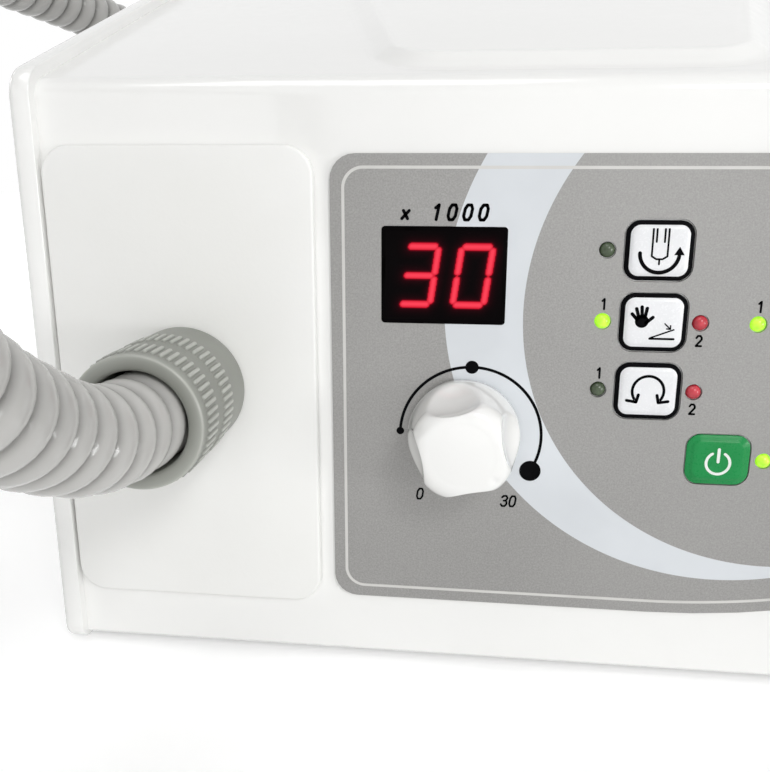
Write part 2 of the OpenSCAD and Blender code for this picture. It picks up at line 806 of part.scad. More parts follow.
// Size of a key's opening in the panel, the last one being the power key's
function key_size(i) = i == 4 ? [power_w, power_h] : [key_w, key_h];

module control_panel() color("#AFADAA") difference() {
    on_front(0, 0) linear_extrude(panel_t) polygon(panel_outline());
    on_front(display_x, display_z) slab(display_w, display_h, window_r, -1, panel_t + 1);
    for (i = [0:4]) on_front(key_places[i].x, key_places[i].y)
        slab(key_size(i).x, key_size(i).y, key_r, -1, panel_t + 1);
    for (p = lamp_places) on_front(p.x, p.y) rod(lamp_d / 2 + 0.15, -1, panel_t + 1);
    for (p = knob_places) on_front(p.x, p.y) rod(shaft_d / 2 + 1, -1, panel_t + 1);
}

module display_window() color("#160A0C") on_front(display_x, display_z)
    slab(display_w - 0.1, display_h - 0.1, window_r, 0, panel_t);

module display_module() color("#1B1B1D") on_front(display_x, display_z)
    slab(display_w - 2 * seat_fit, display_h - 2 * seat_fit, window_r, -board_front, -seat_fit);

// Bars of a seven-bar digit that is lit: top, top right, low right, bottom, low left, top left, middle
module digit(bars) {
    h = 0.33 * display_h;
    w = 0.3 * display_w;
    t = 0.075 * display_h;
    places = [
        [0, h, 0], [w / 2, h / 2, 90], [w / 2, -h / 2, 90], [0, -h, 0],
        [-w / 2, -h / 2, 90], [-w / 2, h / 2, 90], [0, 0, 0]
    ];
    multmatrix([[1, 0.15, 0, 0], [0, 1, 0, 0], [0, 0, 1, 0]])
        for (b = bars) translate([places[b][0], places[b][1], 0]) rotate(places[b][2])
            translate([0, 0, -seat_fit]) linear_extrude(0.2)
                bar((places[b][2] == 0 ? w : h) - t, t);
}

// One bar with pointed ends
module bar(length, t) {
    polygon([[-length / 2, 0], [-length / 2 + t / 2, -t / 2], [length / 2 - t / 2, -t / 2],
             [length / 2, 0], [length / 2 - t / 2, t / 2], [-length / 2 + t / 2, t / 2]]);
}

module display_digits() color("#F02038") on_front(display_x, display_z) {
    translate([-0.225 * display_w, 0, 0]) digit([0, 1, 2, 3, 6]);
    translate([0.225 * display_w, 0, 0]) digit([0, 1, 2, 3, 4, 5]);
}

module control_board() color("#2E6B3C") difference() {
    on_front(0, 0) translate([board_x0, board_z0, -board_front - board_t])
        cube([board_x1 - board_x0, board_z1 - board_z0, board_t]);
    for (p = knob_places) on_front(p.x, p.y) rod(pot_r + 0.8, -board_front - board_t - 1, 0);
    for (c = board_corners) on_front(c.x, c.y) rod(board_screw_d / 2 + 0.2, -board_front - board_t - 1, 0);
}

module board_screws() color("#A8A9AB") {
    for (c = board_corners)
        on_front(c.x, c.y) translate([0, 0, -board_front - board_t])
            screw(board_screw_d, screw_head_d, screw_head_h, board_t + board_screw_grip);
}

module key_switches() color("#2B2C2E") {
    for (p = key_places) on_front(p.x, p.y) {
        slab(6, 6, 0.5, -board_front, -board_front + switch_h);
        rod(stem_d / 2 - 0.2, -board_front + switch_h - eps, -board_front + switch_h + plunger_h);
    }
}

// Indicator lamps: round bodies on the board with a domed tip through the panel
module lamps(places) {
    for (p = places) on_front(p.x, p.y) {
        rod(lamp_d / 2, -board_front, lamp_out - lamp_d / 2);
        translate([0, 0, lamp_out - lamp_d / 2]) sphere(d = lamp_d);
    }
}

module lamps_green_on() color("#B4F000") lamps(green_on_places);

module lamps_green_off() color("#46543A") lamps(green_off_places);

module lamps_red() color("#C03540") lamps(red_places);

// Potentiometer behind the front wall, its bush in the wall
module pot(place) {
    on_front(place.x, place.y) difference() {
        union() {
            rod(pot_r, -wall - pot_len, -wall);
            rod(bush_r, -wall - eps, -0.4);
        }
        rod(shaft_d / 2 + run_fit, -wall - pot_len + 1, 1);
    }
}

module knob_shaft(place) {
    on_front(place.x, place.y) rod(shaft_d / 2, -wall - pot_len + 1.5, panel_t + knob_h - 4);
}

// Knob with a domed crown, four finger scoops and a pointer dimple at its largest setting
module knob(place) {
    r = knob_d / 2;
    from = panel_t + 0.6;
    scoop_r = 14;
    scoop_out = 10.3;
    scoop_down = 2.3;
    on_front(place.x, place.y) difference() {
        rotate_extrude() polygon(concat(
            [[0, from], [r - 0.5, from], [r, from + 0.5], [r, from + 2.2], [r - 1.1, knob_h - 4]],
            [for (a = [15:15:75]) [r - 4.6 + 3.5 * cos(a), knob_h - 4 + 4 * sin(a)]],
            [[r - 4.6, knob_h], [0, knob_h]]
        ));
        for (a = [12:90:282])
            rotate(a) translate([r + scoop_out, 0, knob_h - scoop_down]) sphere(r = scoop_r);
        rotate(-38) translate([r - 3.4, 0, knob_h + 0.4]) sphere(r = 1.5);
        rod(shaft_d / 2 + eps, from - 1, panel_t + knob_h - 3.8);
    }
}

module speed_pot() color("#55585B") pot(knob_places[0]);

module speed_shaft() color("#BFC1C3") knob_shaft(knob_places[0]);

module speed_knob() color("#FAFAF9") knob(knob_places[0]);

module suction_pot() color("#55585B") pot(knob_places[1]);

module suction_shaft() color("#BFC1C3") knob_shaft(knob_places[1]);

module suction_knob() color("#FAFAF9") knob(knob_places[1]);

// Key cap with a pillowed top and a stem that reaches its switch
module key(i) {
    w = key_size(i).x - 2 * seat_fit;
    h = key_size(i).y - 2 * seat_fit;
    low = key_travel + key_lift;
    tip = -board_front + switch_h + plunger_h + key_travel + key_lift;
    crown = [[0, low], [0, low + 0.7], [0.35, low + 0.95], [1, low + 1.05]];
    on_front(key_places[i].x, key_places[i].y) {
        loft([
            for (c = crown) [
                for (p = rounded_box(w - 2 * c[0], h - 2 * c[0], key_r - seat_fit - c[0])) [p.x, p.y, c[1]]
            ]
        ]);
        rod(stem_d / 2, tip, low + eps);
    }
}

module key_tool() color("#EEF0F0") key(0);

module key_source() color("#EEF0F0") key(1);

module key_direction() color("#EEF0F0") key(2);

module key_auto() color("#EEF0F0") key(3);

module key_power() color("#2A9A52") key(4);

module power_board() color("#2E6B3C")
    translate([supply_x - supply_w / 2, supply_y - supply_d / 2, base_top + supply_lift])
        cube([supply_w, supply_d, supply_t]);

module transformer() color("#B58A3C") translate([supply_x, supply_y, base_top + supply_lift + supply_t]) {
    translate([-core_w, -core_d, 0] / 2) cube([core_w, core_d, core_h]);
    translate([-coil_w, -coil_d, core_h - coil_h] / 2) cube([coil_w, coil_d, coil_h]);
}

module capacitors() color("#33373C") translate([supply_x, supply_y, base_top + supply_lift + supply_t])
    for (i = [-1:1]) translate([i * cap_pitch, cap_off, 0]) rod(cap_r, 0, cap_h);

// Hose centre line: a smooth curve through the route's points
function curve_point(a, b, c, d, t) =
    0.5 * (2 * b + (c - a) * t + (2 * a - 5 * b + 4 * c - d) * t * t + (3 * b - a - 3 * c + d) * t * t * t);
route_last = len(hose_route) - 1;
function route_at(i) =
    i < 0 ? 2 * hose_route[0] - hose_route[1]
    : i > route_last ? 2 * hose_route[route_last] - hose_route[route_last - 1]
    : hose_route[i];
hose_line = concat(
    [
        for (i = [0:route_last - 1], k = [0:hose_steps - 1])
            curve_point(route_at(i - 1), route_at(i), route_at(i + 1), route_at(i + 2), k / hose_steps)
    ],
    [hose_route[route_last]]
);
hose_marks = [
    for (i = 0, s = 0; i < len(hose_line);
         s = s + (i + 1 < len(hose_line) ? norm(hose_line[i + 1] - hose_line[i]) : 0), i = i + 1) s
];
hose_length = hose_marks[len(hose_marks) - 1];
hose_tables = [for (axis = [0:2]) [for (i = [0:len(hose_line) - 1]) [hose_marks[i], hose_line[i][axis]]]];
function hose_point(s) = [for (table = hose_tables) lookup(s, table)];
function hose_way(s) = unit(hose_point(min(s + 2, hose_length)) - hose_point(max(s - 2, 0)));

// Rings round the centre line at the given distances and radii, each frame carried on from the last
function hose_frames(marks) = [
    for (i = 0, w = hose_way(marks[0]), u = unit(cross(w, [0, 0, 1])); i < len(marks);
         i = i + 1, w = i < len(marks) ? hose_way(marks[i]) : w, u = unit(u - (u * w) * w))
        [hose_point(marks[i]), u, cross(w, u)]
];
function hose_rings(marks, radii) =
    let (frames = hose_frames(marks))
    [
        for (i = [0:len(marks) - 1], k = [0:hose_sides - 1])
            let (f = frames[i], a = 360 * k / hose_sides)
            f[0] + radii[i] * (cos(a) * f[1] + sin(a) * f[2])
    ];

// Ribbed tube with its bore: two rings to a rib outside, plain rings inside
module hose_run() color("#C9C7C3") {
    n = hose_sides;
    outer_count = 2 * rib_count + 1;
    outer_marks = [for (i = [0:outer_count - 1]) hose_length * i / (outer_count - 1)];
    outer_radii = [for (i = [0:outer_count - 1]) hose_d / 2 - (i % 2 == 1 ? rib_depth : 0)];
    inner_count = 98;
    inner_marks = [for (i = [0:inner_count - 1]) hose_length * i / (inner_count - 1)];
    inner_radii = [for (m = inner_marks) hose_bore / 2];
    points = concat(hose_rings(outer_marks, outer_radii), hose_rings(inner_marks, inner_radii));
    shift = outer_count * n;
    outside = [
        for (j = [0:outer_count - 2], i = [0:n - 1])
            let (a = j * n + i, b = j * n + (i + 1) % n)
            each [[a, a + n, b], [b, a + n, b + n]]
    ];
    inside = [
        for (j = [0:inner_count - 2], i = [0:n - 1])
            let (a = shift + j * n + i, b = shift + j * n + (i + 1) % n)
            each [[a, b, a + n], [b, b + n, a + n]]
    ];
    out_end = (outer_count - 1) * n;
    in_end = shift + (inner_count - 1) * n;
    ends = [
        for (i = [0:n - 1])
            let (k = (i + 1) % n)
            each [[i, k, shift + k], [i, shift + k, shift + i],
                  [out_end + i, in_end + k, out_end + k], [out_end + i, in_end + i, in_end + k]]
    ];
    polyhedron(points, concat(outside, inside, ends), convexity = 10);
}

// Least distance between stretches of the hose that lie far apart along it
spread_marks = [for (s = [0:20:hose_length]) hose_point(s)];
least_gap = min([
    for (i = [0:len(spread_marks) - 9], k = [i + 8:len(spread_marks) - 1])
        norm(spread_marks[i] - spread_marks[k])
]) - hose_d;
echo(hose_length = hose_length, least_gap = least_gap);

module hose_cuff() color("#7C7E79") on_handpiece() rotate_extrude() polygon([
    [hose_d / 2 + 0.2, 0], [cuff_r - 1, 0], [cuff_r - 0.5, 1],
    [cuff_r + 0.5, cuff_len - 6], [cuff_r, cuff_len],
    [tail_r + eps, cuff_len], [tail_r + eps, cuff_grip + 2], [hose_bore / 2, cuff_grip + 2],
    [hose_bore / 2, cuff_grip], [hose_d / 2 + 0.2, cuff_grip]
]);

module handpiece_barrel() color("#E4E5E4") on_handpiece() difference() {
    r = hand_d / 2;
    rotate_extrude() polygon([
        [0, cuff_grip + 2], [tail_r, cuff_grip + 2], [tail_r, cuff_len], [cuff_r + 0.6, cuff_len],
        [r - 0.4, cuff_len + 5], [r, cuff_len + 8], [r, barrel_end - 14], [r - 0.7, barrel_end - 10],
        [r - 0.7, barrel_end - 3], [r - 1.2, barrel_end], [neck_r, barrel_end],
        [neck_r, nose_start], [0, nose_start]
    ]);
    rod(hose_bore / 2 - 1.5, cuff_grip + 1, cuff_len + 12);
    rod(spindle_r + run_fit, nose_start - 12, nose_start + 1);
    for (i = [0:4]) translate([0, 0, barrel_end - 34 + 3.6 * i]) difference() {
        rod(r + 1, 0, 1.4);
        rod(r - 0.5, -1, 3);
    }
}

module lock_ring() color("#B7B9BA") on_handpiece() difference() {
    r = hand_d / 2 - 0.6;
    rotate_extrude() polygon([
        [neck_r + 0.1, ring_start], [r - 0.6, ring_start], [r, ring_start + 0.6],
        [r, ring_start + ring_len - 1.2],
        [r - 1.2, ring_start + ring_len], [neck_r + 0.1, ring_start + ring_len]
    ]);
    for (i = [0:17])
        rotate(i * 20) translate([r + 0.6, 0, 0]) rod(1.3, ring_start + 2, ring_start + ring_len - 2.5);
}

module nose_cone() color("#C7C9CA") on_handpiece() difference() {
    r = hand_d / 2 - 1.8;
    rotate_extrude() polygon([
        [0, nose_start], [r, nose_start], [r, nose_start + 2], [r - 1.2, nose_start + 9],
        [nose_tip_r + 1.2, nose_end - hood_over - 1], [nose_tip_r, nose_end - hood_over],
        [nose_tip_r, nose_end], [0, nose_end]
    ]);
    rod(spindle_r + run_fit, nose_start - 1, nose_end + 1);
}

module tool_spindle() color("#D4D6D8") on_handpiece() difference() {
    union() {
        rod(spindle_r, nose_start - 11, nose_end + 1);
        rod(spindle_r - 0.6, nose_end + 1 - eps, nose_end + spindle_out);
    }
    rod(shank_d / 2, nose_end + spindle_out - 20, nose_end + spindle_out + 1);
    for (a = [0, 120, 240])
        rotate(a) translate([shank_d / 2 + 0.2, -0.25, nose_end + 2]) cube([4, 0.5, spindle_out]);
}

module suction_hood() color("#DDE3E6") on_handpiece() rotate_extrude() polygon([
    [nose_tip_r + eps, nose_end - hood_over], [nose_tip_r + 2.2, nose_end - hood_over],
    [nose_tip_r + 2.4, nose_end + 2], [nose_tip_r + 0.6, hand_len], [nose_tip_r - 0.6, hand_len],
    [nose_tip_r - 0.4, nose_end + 0.2], [nose_tip_r + eps, nose_end + 0.2]
]);

main_shell();
left_cheek();
right_cheek();
base_plate();
rubber_feet();
base_screws();
rear_panel();
rear_screws();
mains_inlet();
inlet_pins();
pedal_jack();
hose_plate();
hose_spigot();
spigot_gasket();
spigot_nut();
hose_collar();
filter_box();
filter_pleats();
filter_lid();
duct_seal();
blower_housing();
blower_impeller();
blower_shaft();
blower_motor();
control_panel();
display_window();
display_module();
display_digits();
control_board();
board_screws();
key_switches();
lamps_green_on();
lamps_green_off();
lamps_red();
speed_pot();
speed_shaft();
speed_knob();
suction_pot();
suction_shaft();
suction_knob();
key_tool();
key_source();
key_direction();
key_auto();
key_power();
power_board();
transformer();
capacitors();
hose_run();
hose_cuff();
handpiece_barrel();
lock_ring();
nose_cone();
tool_spindle();
suction_hood();
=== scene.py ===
import math

import bpy
import numpy as np
from mathutils import Matrix, Vector


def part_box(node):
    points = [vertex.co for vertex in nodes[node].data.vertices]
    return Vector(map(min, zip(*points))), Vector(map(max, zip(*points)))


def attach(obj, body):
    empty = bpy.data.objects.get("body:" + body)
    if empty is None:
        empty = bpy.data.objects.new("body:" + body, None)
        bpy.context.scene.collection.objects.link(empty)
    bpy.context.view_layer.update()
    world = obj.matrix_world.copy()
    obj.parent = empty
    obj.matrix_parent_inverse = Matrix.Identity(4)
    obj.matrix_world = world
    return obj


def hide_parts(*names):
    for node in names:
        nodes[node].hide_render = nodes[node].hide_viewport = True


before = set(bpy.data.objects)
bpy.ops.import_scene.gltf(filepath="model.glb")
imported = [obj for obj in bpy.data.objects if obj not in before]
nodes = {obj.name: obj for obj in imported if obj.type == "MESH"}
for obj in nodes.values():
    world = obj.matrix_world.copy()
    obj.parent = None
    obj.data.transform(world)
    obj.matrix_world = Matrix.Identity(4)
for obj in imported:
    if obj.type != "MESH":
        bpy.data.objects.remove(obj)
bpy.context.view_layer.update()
mm = 0.001
scene = bpy.context.scene
print("frame loaded,", len(nodes), "nodes")


def nodeBox(name):  # lowest and highest corner of a CAD node, and its centre, in mm
    low, high = (np.array(corner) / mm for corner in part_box(name))
    return low, high, (low + high) / 2


shellLow, shellHigh, _ = nodeBox("main_shell")
frontY = shellLow[1]  # plane of the front face


# Colours and nodes

def linear(hexColor):  # sRGB hex to linear RGBA
    v = np.array([int(hexColor[i:i + 2], 16) / 255 for i in (1, 3, 5)])
    v = np.where(v <= 0.04045, v / 12.92, ((v + 0.055) / 1.055) ** 2.4)
    return (*[float(c) for c in v], 1.0)


def addNode(tree, kind, settings=None, links=None, stops=()):  # a node, its settings, incoming links and ramp stops
    node = tree.nodes.new("ShaderNode" + kind)
    for key, value in (settings or {}).items():
        if isinstance(key, int) or key in node.inputs:
            node.inputs[key].default_value = value
        else:
            setattr(node, key, value)
    for key, source in (links or {}).items():  # a node stands for its first output
        tree.links.new(node.inputs[key], source.outputs[0] if isinstance(source, bpy.types.Node) else source)
    if stops:  # hex or grey values
        elements = node.color_ramp.elements
        while len(elements) < len(stops):
            elements.new(0.5)
        for element, (place, value) in zip(elements, stops):
            element.position = place
            element.color = linear(value) if isinstance(value, str) else (value, value, value, 1)
    return node


def startMaterial(name):  # empty material, its tree and Object coordinates
    material = bpy.data.materials.new(name)
    material.use_nodes = True
    tree = material.node_tree
    tree.nodes.clear()
    return material, tree, addNode(tree, "TexCoord").outputs["Object"]


def closeMaterial(material, settings, links):  # Principled shader with its settings and patterns, and the output
    shader = addNode(material.node_tree, "BsdfPrincipled", settings, links)
    addNode(material.node_tree, "OutputMaterial", links={"Surface": shader})
    return material


# Moulded plastic: faint clouds of tone, and a grain that breaks the gloss
def mouldedPlastic(name, light, dark, cloudMm, grainMm, rough, bump, ior=1.53, coat=0.0, clear=0.0, shine=0.5):
    material, tree, coords = startMaterial(name)
    clouds = addNode(tree, "TexNoise", {"Scale": 1 / (cloudMm * mm), "Detail": 3.0}, {"Vector": coords})
    grain = addNode(tree, "TexNoise", {"Scale": 1 / (grainMm * mm), "Detail": 2.0}, {"Vector": coords})
    tone = addNode(tree, "ValToRGB", links={"Fac": clouds}, stops=[(0.35, dark), (0.65, light)])
    gloss = addNode(tree, "ValToRGB", links={"Fac": grain}, stops=[(0.3, rough[0]), (0.7, rough[1])])
    relief = addNode(tree, "Bump", {"Strength": bump, "Distance": grainMm * mm * 0.2}, {"Height": grain})
    settings = {"IOR": ior, "Coat Weight": coat, "Coat Roughness": 0.06, "Transmission Weight": clear,
                "Specular IOR Level": shine}
    return closeMaterial(material, settings, {"Base Color": tone, "Roughness": gloss, "Normal": relief})


plastics = {  # light and dark tone, clouds and grain in mm, roughness, strength of the grain
    # ABS, polished mould: a clean high gloss with hardly any texture
    "polishedWhiteAbs": ("#F5F5F3", "#F4F4F2", 60, 3.0, (0.14, 0.18), 0.0, {"coat": 0.8}),
    # ABS, sparked mould: a fine orange peel that softens the gloss
    "grainedWhiteAbs": ("#F5F5F3", "#F2F2EF", 40, 0.8, (0.34, 0.46), 0.12),
    # ABS, eroded mould: a dry satin with broad dull highlights
    "satinWhiteAbs": ("#ECECE9", "#E6E6E2", 50, 0.7, (0.4, 0.55), 0.1),
    "satinGreyAbs": ("#D6D6D2", "#CFCFCA", 50, 0.7, (0.45, 0.6), 0.1),
    "blackAbs": ("#262729", "#1D1E20", 20, 0.5, (0.4, 0.55), 0.1),
    "darkGreyAbs": ("#63676B", "#55595D", 30, 0.6, (0.45, 0.6), 0.12),
    # nylon, grey in the mass: a low sheen that shows every edge
    "greyNylon": ("#989A93", "#8D8F87", 14, 0.4, (0.36, 0.5), 0.08),
    # moulded rubber: no highlight, only a soft paler edge
    "blackRubber": ("#2F2F30", "#252526", 8, 0.3, (0.65, 0.8), 0.2),
    "greyRubber": ("#7F817C", "#747671", 10, 0.3, (0.6, 0.75), 0.2),
    # embossed polyester film: smooth, with one soft gleam on each pillow
    "keyWhiteFilm": ("#ECEDEF", "#E6E7E9", 9, 0.4, (0.2, 0.3), 0.03, {"coat": 0.3}),
    "keyGreenFilm": ("#1F8F4C", "#1A8745", 9, 0.4, (0.25, 0.35), 0.03, {"shine": 0.2}),
    # screen ink on film: flat and even, a little less glossy than the film
    "blackInk": ("#0C0C0E", "#08080A", 5, 0.3, (0.5, 0.6), 0.0, {"shine": 0.02}),
    "whiteInk": ("#EEF2EE", "#E6ECE6", 5, 0.3, (0.35, 0.45), 0.04),
    "paleInk": ("#D9DDE1", "#D2D6DA", 18, 0.3, (0.35, 0.45), 0.05),
    "stripeInk": ("#D4D3D0", "#CCCBC8", 9, 0.3, (0.35, 0.45), 0.05),
    # lacquered glass laminate: green, mottled by the weave below the lacquer
    "boardGreen": ("#2F7042", "#235A33", 2.5, 0.5, (0.3, 0.45), 0.15),
    # folded filter paper: dry and fibrous
    "filterPaper": ("#EDEADF", "#DDD8C8", 1.5, 0.3, (0.85, 0.95), 0.4),
    # yellow polyester tape over a winding: a waxy half gloss
    "coilTape": ("#C0943F", "#A87E33", 4, 0.4, (0.4, 0.55), 0.15),
    # ABS, off-white, lightly polished: a clear but soft highlight along the barrel
    "ivoryAbs": ("#E7E8E7", "#E0E1E0", 20, 0.6, (0.26, 0.36), 0.04, {"coat": 0.1}),
    # polycarbonate, milky: some light passes through, so its edges glow
    "milkyPolycarbonate": ("#E2E8EB", "#D8DFE3", 8, 0.4, (0.2, 0.3), 0.04, {"clear": 0.25, "ior": 1.58}),
    # acrylic, tinted nearly black: deep and even
    "windowAcrylic": ("#060405", "#040303", 10, 0.5, (0.1, 0.14), 0.0, {"shine": 0.02}),
}
finish = {name: mouldedPlastic(name, *row[:6], **dict(*row[6:])) for name, row in plastics.items()}


def workedMetal(name, light, dark, lineMm, across, rough):  # turned or brushed metal: fine lines across an axis
    material, tree, coords = startMaterial(name)
    fine, drawn = 1 / (lineMm * mm), 30  # a line is drawn out to this many times its width
    stretch = [fine if axis in across else fine / drawn for axis in "xyz"]
    lines = addNode(tree, "Mapping", {"Scale": stretch}, {"Vector": coords})
    noise = addNode(tree, "TexNoise", {"Scale": 1.0, "Detail": 3.0}, {"Vector": lines})
    tone = addNode(tree, "ValToRGB", links={"Fac": noise}, stops=[(0.3, dark), (0.7, light)])
    gloss = addNode(tree, "ValToRGB", links={"Fac": noise}, stops=[(0.3, rough[0]), (0.7, rough[1])])
    grooves = addNode(tree, "Bump", {"Strength": 0.15, "Distance": 0.00002}, {"Height": noise})
    return closeMaterial(material, {"Metallic": 1.0}, {"Base Color": tone, "Roughness": gloss, "Normal": grooves})


metals = {  # light and dark tone, line width in mm, axes the lines cross, roughness
    "turnedSteel": ("#D3D5D7", "#B9BBBD", 0.12, "x", (0.22, 0.34)),  # rings of the lathe, a bright streak along
    "platedSteel": ("#BFC0C2", "#A6A7A9", 0.3, "xz", (0.28, 0.4)),  # zinc plate, a grey gleam
    "spunAluminium": ("#C6C8CA", "#AEB1B3", 0.3, "y", (0.3, 0.42)),  # pale and soft, with rings
    "nickelledBrass": ("#D2CDB9", "#B9B39C", 0.2, "y", (0.25, 0.35)),  # silver with a warm tinge
    "zincCan": ("#A9ACAF", "#94979A", 0.4, "y", (0.38, 0.5)),  # drawn can, dull grey
}
finish.update({name: workedMetal(name, *row) for name, row in metals.items()})


def lampDome(name, light, dark, glow, hazeMm=1.2):  # indicator lamp: hazy dyed epoxy, lit from inside where it is on
    material, tree, coords = startMaterial(name)
    haze = addNode(tree, "TexNoise", {"Scale": 1 / (hazeMm * mm), "Detail": 1.0}, {"Vector": coords})
    tone = addNode(tree, "ValToRGB", links={"Fac": haze}, stops=[(0.3, dark), (0.7, light)])
    links = {"Base Color": tone, "Emission Color": tone} if glow > 0 else {"Base Color": tone}
    return closeMaterial(material, {"Roughness": 0.22, "IOR": 1.55, "Emission Strength": glow}, links)


lamps = {  # light and dark tone, glow
    "litGreenEpoxy": ("#B6F53C", "#92DE24", 0.7),  # bright, even across the dome
    "darkGreenEpoxy": ("#4C5B41", "#3D4A34", 0.0),  # dull olive when it is off
    "redEpoxy": ("#CB3B48", "#B02C39", 0.06),  # raspberry, hardly lit
}
finish.update({name: lampDome(name, *row) for name, row in lamps.items()})


def paintedLightPlastic(name, tones, cloudMm, rough):  # moulded plastic with painted shade in its hollows and a painted highlight on its crests: relief is 0 in a hollow, 1 on a crest
    material, tree, coords = startMaterial(name)
    height = addNode(tree, "Attribute", {"attribute_name": "relief"}).outputs["Fac"]
    clouds = addNode(tree, "TexNoise", {"Scale": 1 / (cloudMm * mm), "Detail": 2.0}, {"Vector": coords})
    depth = addNode(tree, "ValToRGB", links={"Fac": height}, stops=tones)
    # faint random tint from the clouds, multiplied into the tone
    wearAndPaintedGlint = addNode(tree, "ValToRGB", links={"Fac": clouds}, stops=[(0.3, 0.94), (0.7, 1.0)])
    tone = addNode(tree, "Mix", {"data_type": "RGBA", "blend_type": "MULTIPLY", 0: 1.0}, {6: depth, 7: wearAndPaintedGlint})
    gloss = addNode(tree, "ValToRGB", links={"Fac": height}, stops=[(0.0, rough[1]), (0.6, rough[0])])
    return closeMaterial(material, {"IOR": 1.53}, {"Base Color": tone.outputs[2], "Roughness": gloss})


reliefs = {  # tones from painted shade in a hollow to a painted highlight on a crest, clouds in mm, roughness
    # soft PVC, light warm grey: waxy, with a painted highlight on the crests of its ribs and painted shade between
    # them
    "ribbedGreyPvc": ([(0.0, "#686764"), (0.45, "#989794"), (0.8, "#BAB9B6"), (1.0, "#C6C5C2")], 25, (0.17, 0.22)),
    # nylon, grey in the mass: a painted highlight on its grip ribs and on the edge of its mouth
    "knurledGreyNylon": ([(0.0, "#8E9089"), (0.5, "#9B9D96"), (1.0, "#B7B9B2")], 14, (0.3, 0.42)),
}
finish.update({name: paintedLightPlastic(name, *row) for name, row in reliefs.items()})

filmSpec = {"flakeMm": 0.35,  # real flakes are near 0.05 mm, drawn coarser so that they show
            "flakes": [(0.28, "#848382"), (0.5, "#999896"), (0.74, "#B2B1AF")],
            "cloudMm": 70, "clouds": [(0.3, "#908F8D"), (0.7, "#A1A09E")], "cloudShare": 0.45,
            "rough": [(0.3, 0.5), (0.7, 0.36)], "metal": 0.25}


def silverFilm(name, spec):  # printed silver film: metallic flakes in a grey ink under a matt lacquer
    material, tree, coords = startMaterial(name)
    flakes = addNode(tree, "TexNoise", {"Scale": 1 / (spec["flakeMm"] * mm), "Detail": 4.0, "Roughness": 0.7},
                     {"Vector": coords})
    clouds = addNode(tree, "TexNoise", {"Scale": 1 / (spec["cloudMm"] * mm), "Detail": 2.0}, {"Vector": coords})
    shine = addNode(tree, "ValToRGB", links={"Fac": flakes}, stops=spec["flakes"])
    depth = addNode(tree, "ValToRGB", links={"Fac": clouds}, stops=spec["clouds"])
    tone = addNode(tree, "Mix", {"data_type": "RGBA", 0: spec["cloudShare"]}, {6: shine, 7: depth})
    gloss = addNode(tree, "ValToRGB", links={"Fac": flakes}, stops=spec["rough"])
    return closeMaterial(material, {"Metallic": spec["metal"]}, {"Base Color": tone.outputs[2], "Roughness": gloss})


glowStops = [(0.0, "#000000"), (0.16, "#240006"), (0.4, "#8A0619"), (0.62, "#D4152E"), (1.0, "#FF4257")]


def barGlow(name, stops):  # red bars behind tinted acrylic: lit says how near a lit bar is
    material, tree, _ = startMaterial(name)
    near = addNode(tree, "Attribute", {"attribute_name": "lit"}).outputs["Fac"]
    light = addNode(tree, "ValToRGB", links={"Fac": near}, stops=stops)
    settings = {"Base Color": linear("#050304"), "Emission Strength": 1.0, "Roughness": 0.12, "Specular IOR Level": 0.02}
    return closeMaterial(material, settings, {"Emission Color": light})


finish["silverPrintedFilm"] = silverFilm("silverPrintedFilm", filmSpec)
finish["redBarGlow"] = barGlow("redBarGlow", glowStops)
print("materials made:", len(finish))


# Mesh helpers: lengths in mm, turned to metres when the mesh is made

def putMesh(name, points, faces, materials, body, sharpDeg=40, faceFinish=None, replaced=None):
    mesh = bpy.data.meshes.new(name)
    mesh.from_pydata((np.asarray(points) * mm).tolist(), [], [list(map(int, f)) for f in faces])
    for material in materials if isinstance(materials, list) else [materials]:
        mesh.materials.append(finish[material])
    if faceFinish is not None:
        mesh.polygons.foreach_set("material_index", np.asarray(faceFinish, dtype=np.int32))
    mesh.polygons.foreach_set("use_smooth", np.ones(len(mesh.polygons), dtype=bool))
    mesh.set_sharp_from_angle(angle=math.radians(sharpDeg))
    mesh.validate()
    mesh.update()
    piece = bpy.data.objects.new(name, mesh)
    scene.collection.objects.link(piece)
    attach(piece, body)
    if replaced:
        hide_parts(replaced)
    return piece


def addField(piece, name, values):  # one value per vertex, for a finish to read
    field = piece.data.attributes.new(name, "FLOAT", "POINT")
    field.data.foreach_set("value", np.asarray(values, dtype=np.float32))


def gridFaces(rows, columns, closed=True, start=0):  # quads between rows, columns running left about the way up
    k, i = np.meshgrid(np.arange(rows - 1), np.arange(columns if closed else columns - 1), indexing="ij")
    a = k * columns + i
    b = k * columns + (i + 1) % columns
    return (np.stack([a, b, b + columns, a + columns], axis=-1).reshape(-1, 4) + start).tolist()


def roundedOutline(corners, radii, stepDeg=6):  # closed outline, each corner an arc, and its outward normals
    corners = np.asarray(corners, dtype=float)
    points, normals = [], []
    straight = 1.5705  # half angle past which a corner is hardly one
    for i, (p, r) in enumerate(zip(corners, radii)):
        u = corners[i - 1] - p
        v = corners[(i + 1) % len(corners)] - p
        u, v = u / np.linalg.norm(u), v / np.linalg.norm(v)
        half = math.acos(np.clip(u @ v, -1, 1)) / 2
        bend = np.sign(v[0] * u[1] - v[1] * u[0])  # plus at an outer corner
        if r <= 0 or half > straight:
            n = -(u + v) if np.linalg.norm(u + v) > 1e-6 else np.array([v[1], -v[0]])
            points.append(p[None])
            normals.append((n / np.linalg.norm(n) * (bend or 1) / math.sin(half))[None])
            continue
        centre = p + (u + v) / np.linalg.norm(u + v) * r / math.sin(half)
        a = p + u * r / math.tan(half) - centre
        b = p + v * r / math.tan(half) - centre
        first = math.atan2(a[1], a[0])
        turn = math.atan2(a[0] * b[1] - a[1] * b[0], a @ b)
        angle = first + np.linspace(0, turn, max(3, int(abs(math.degrees(turn)) / stepDeg) + 2))
        ray = np.stack([np.cos(angle), np.sin(angle)], axis=-1)
        points.append(centre + r * ray)
        normals.append(ray * bend)
    return np.vstack(points), np.vstack(normals)


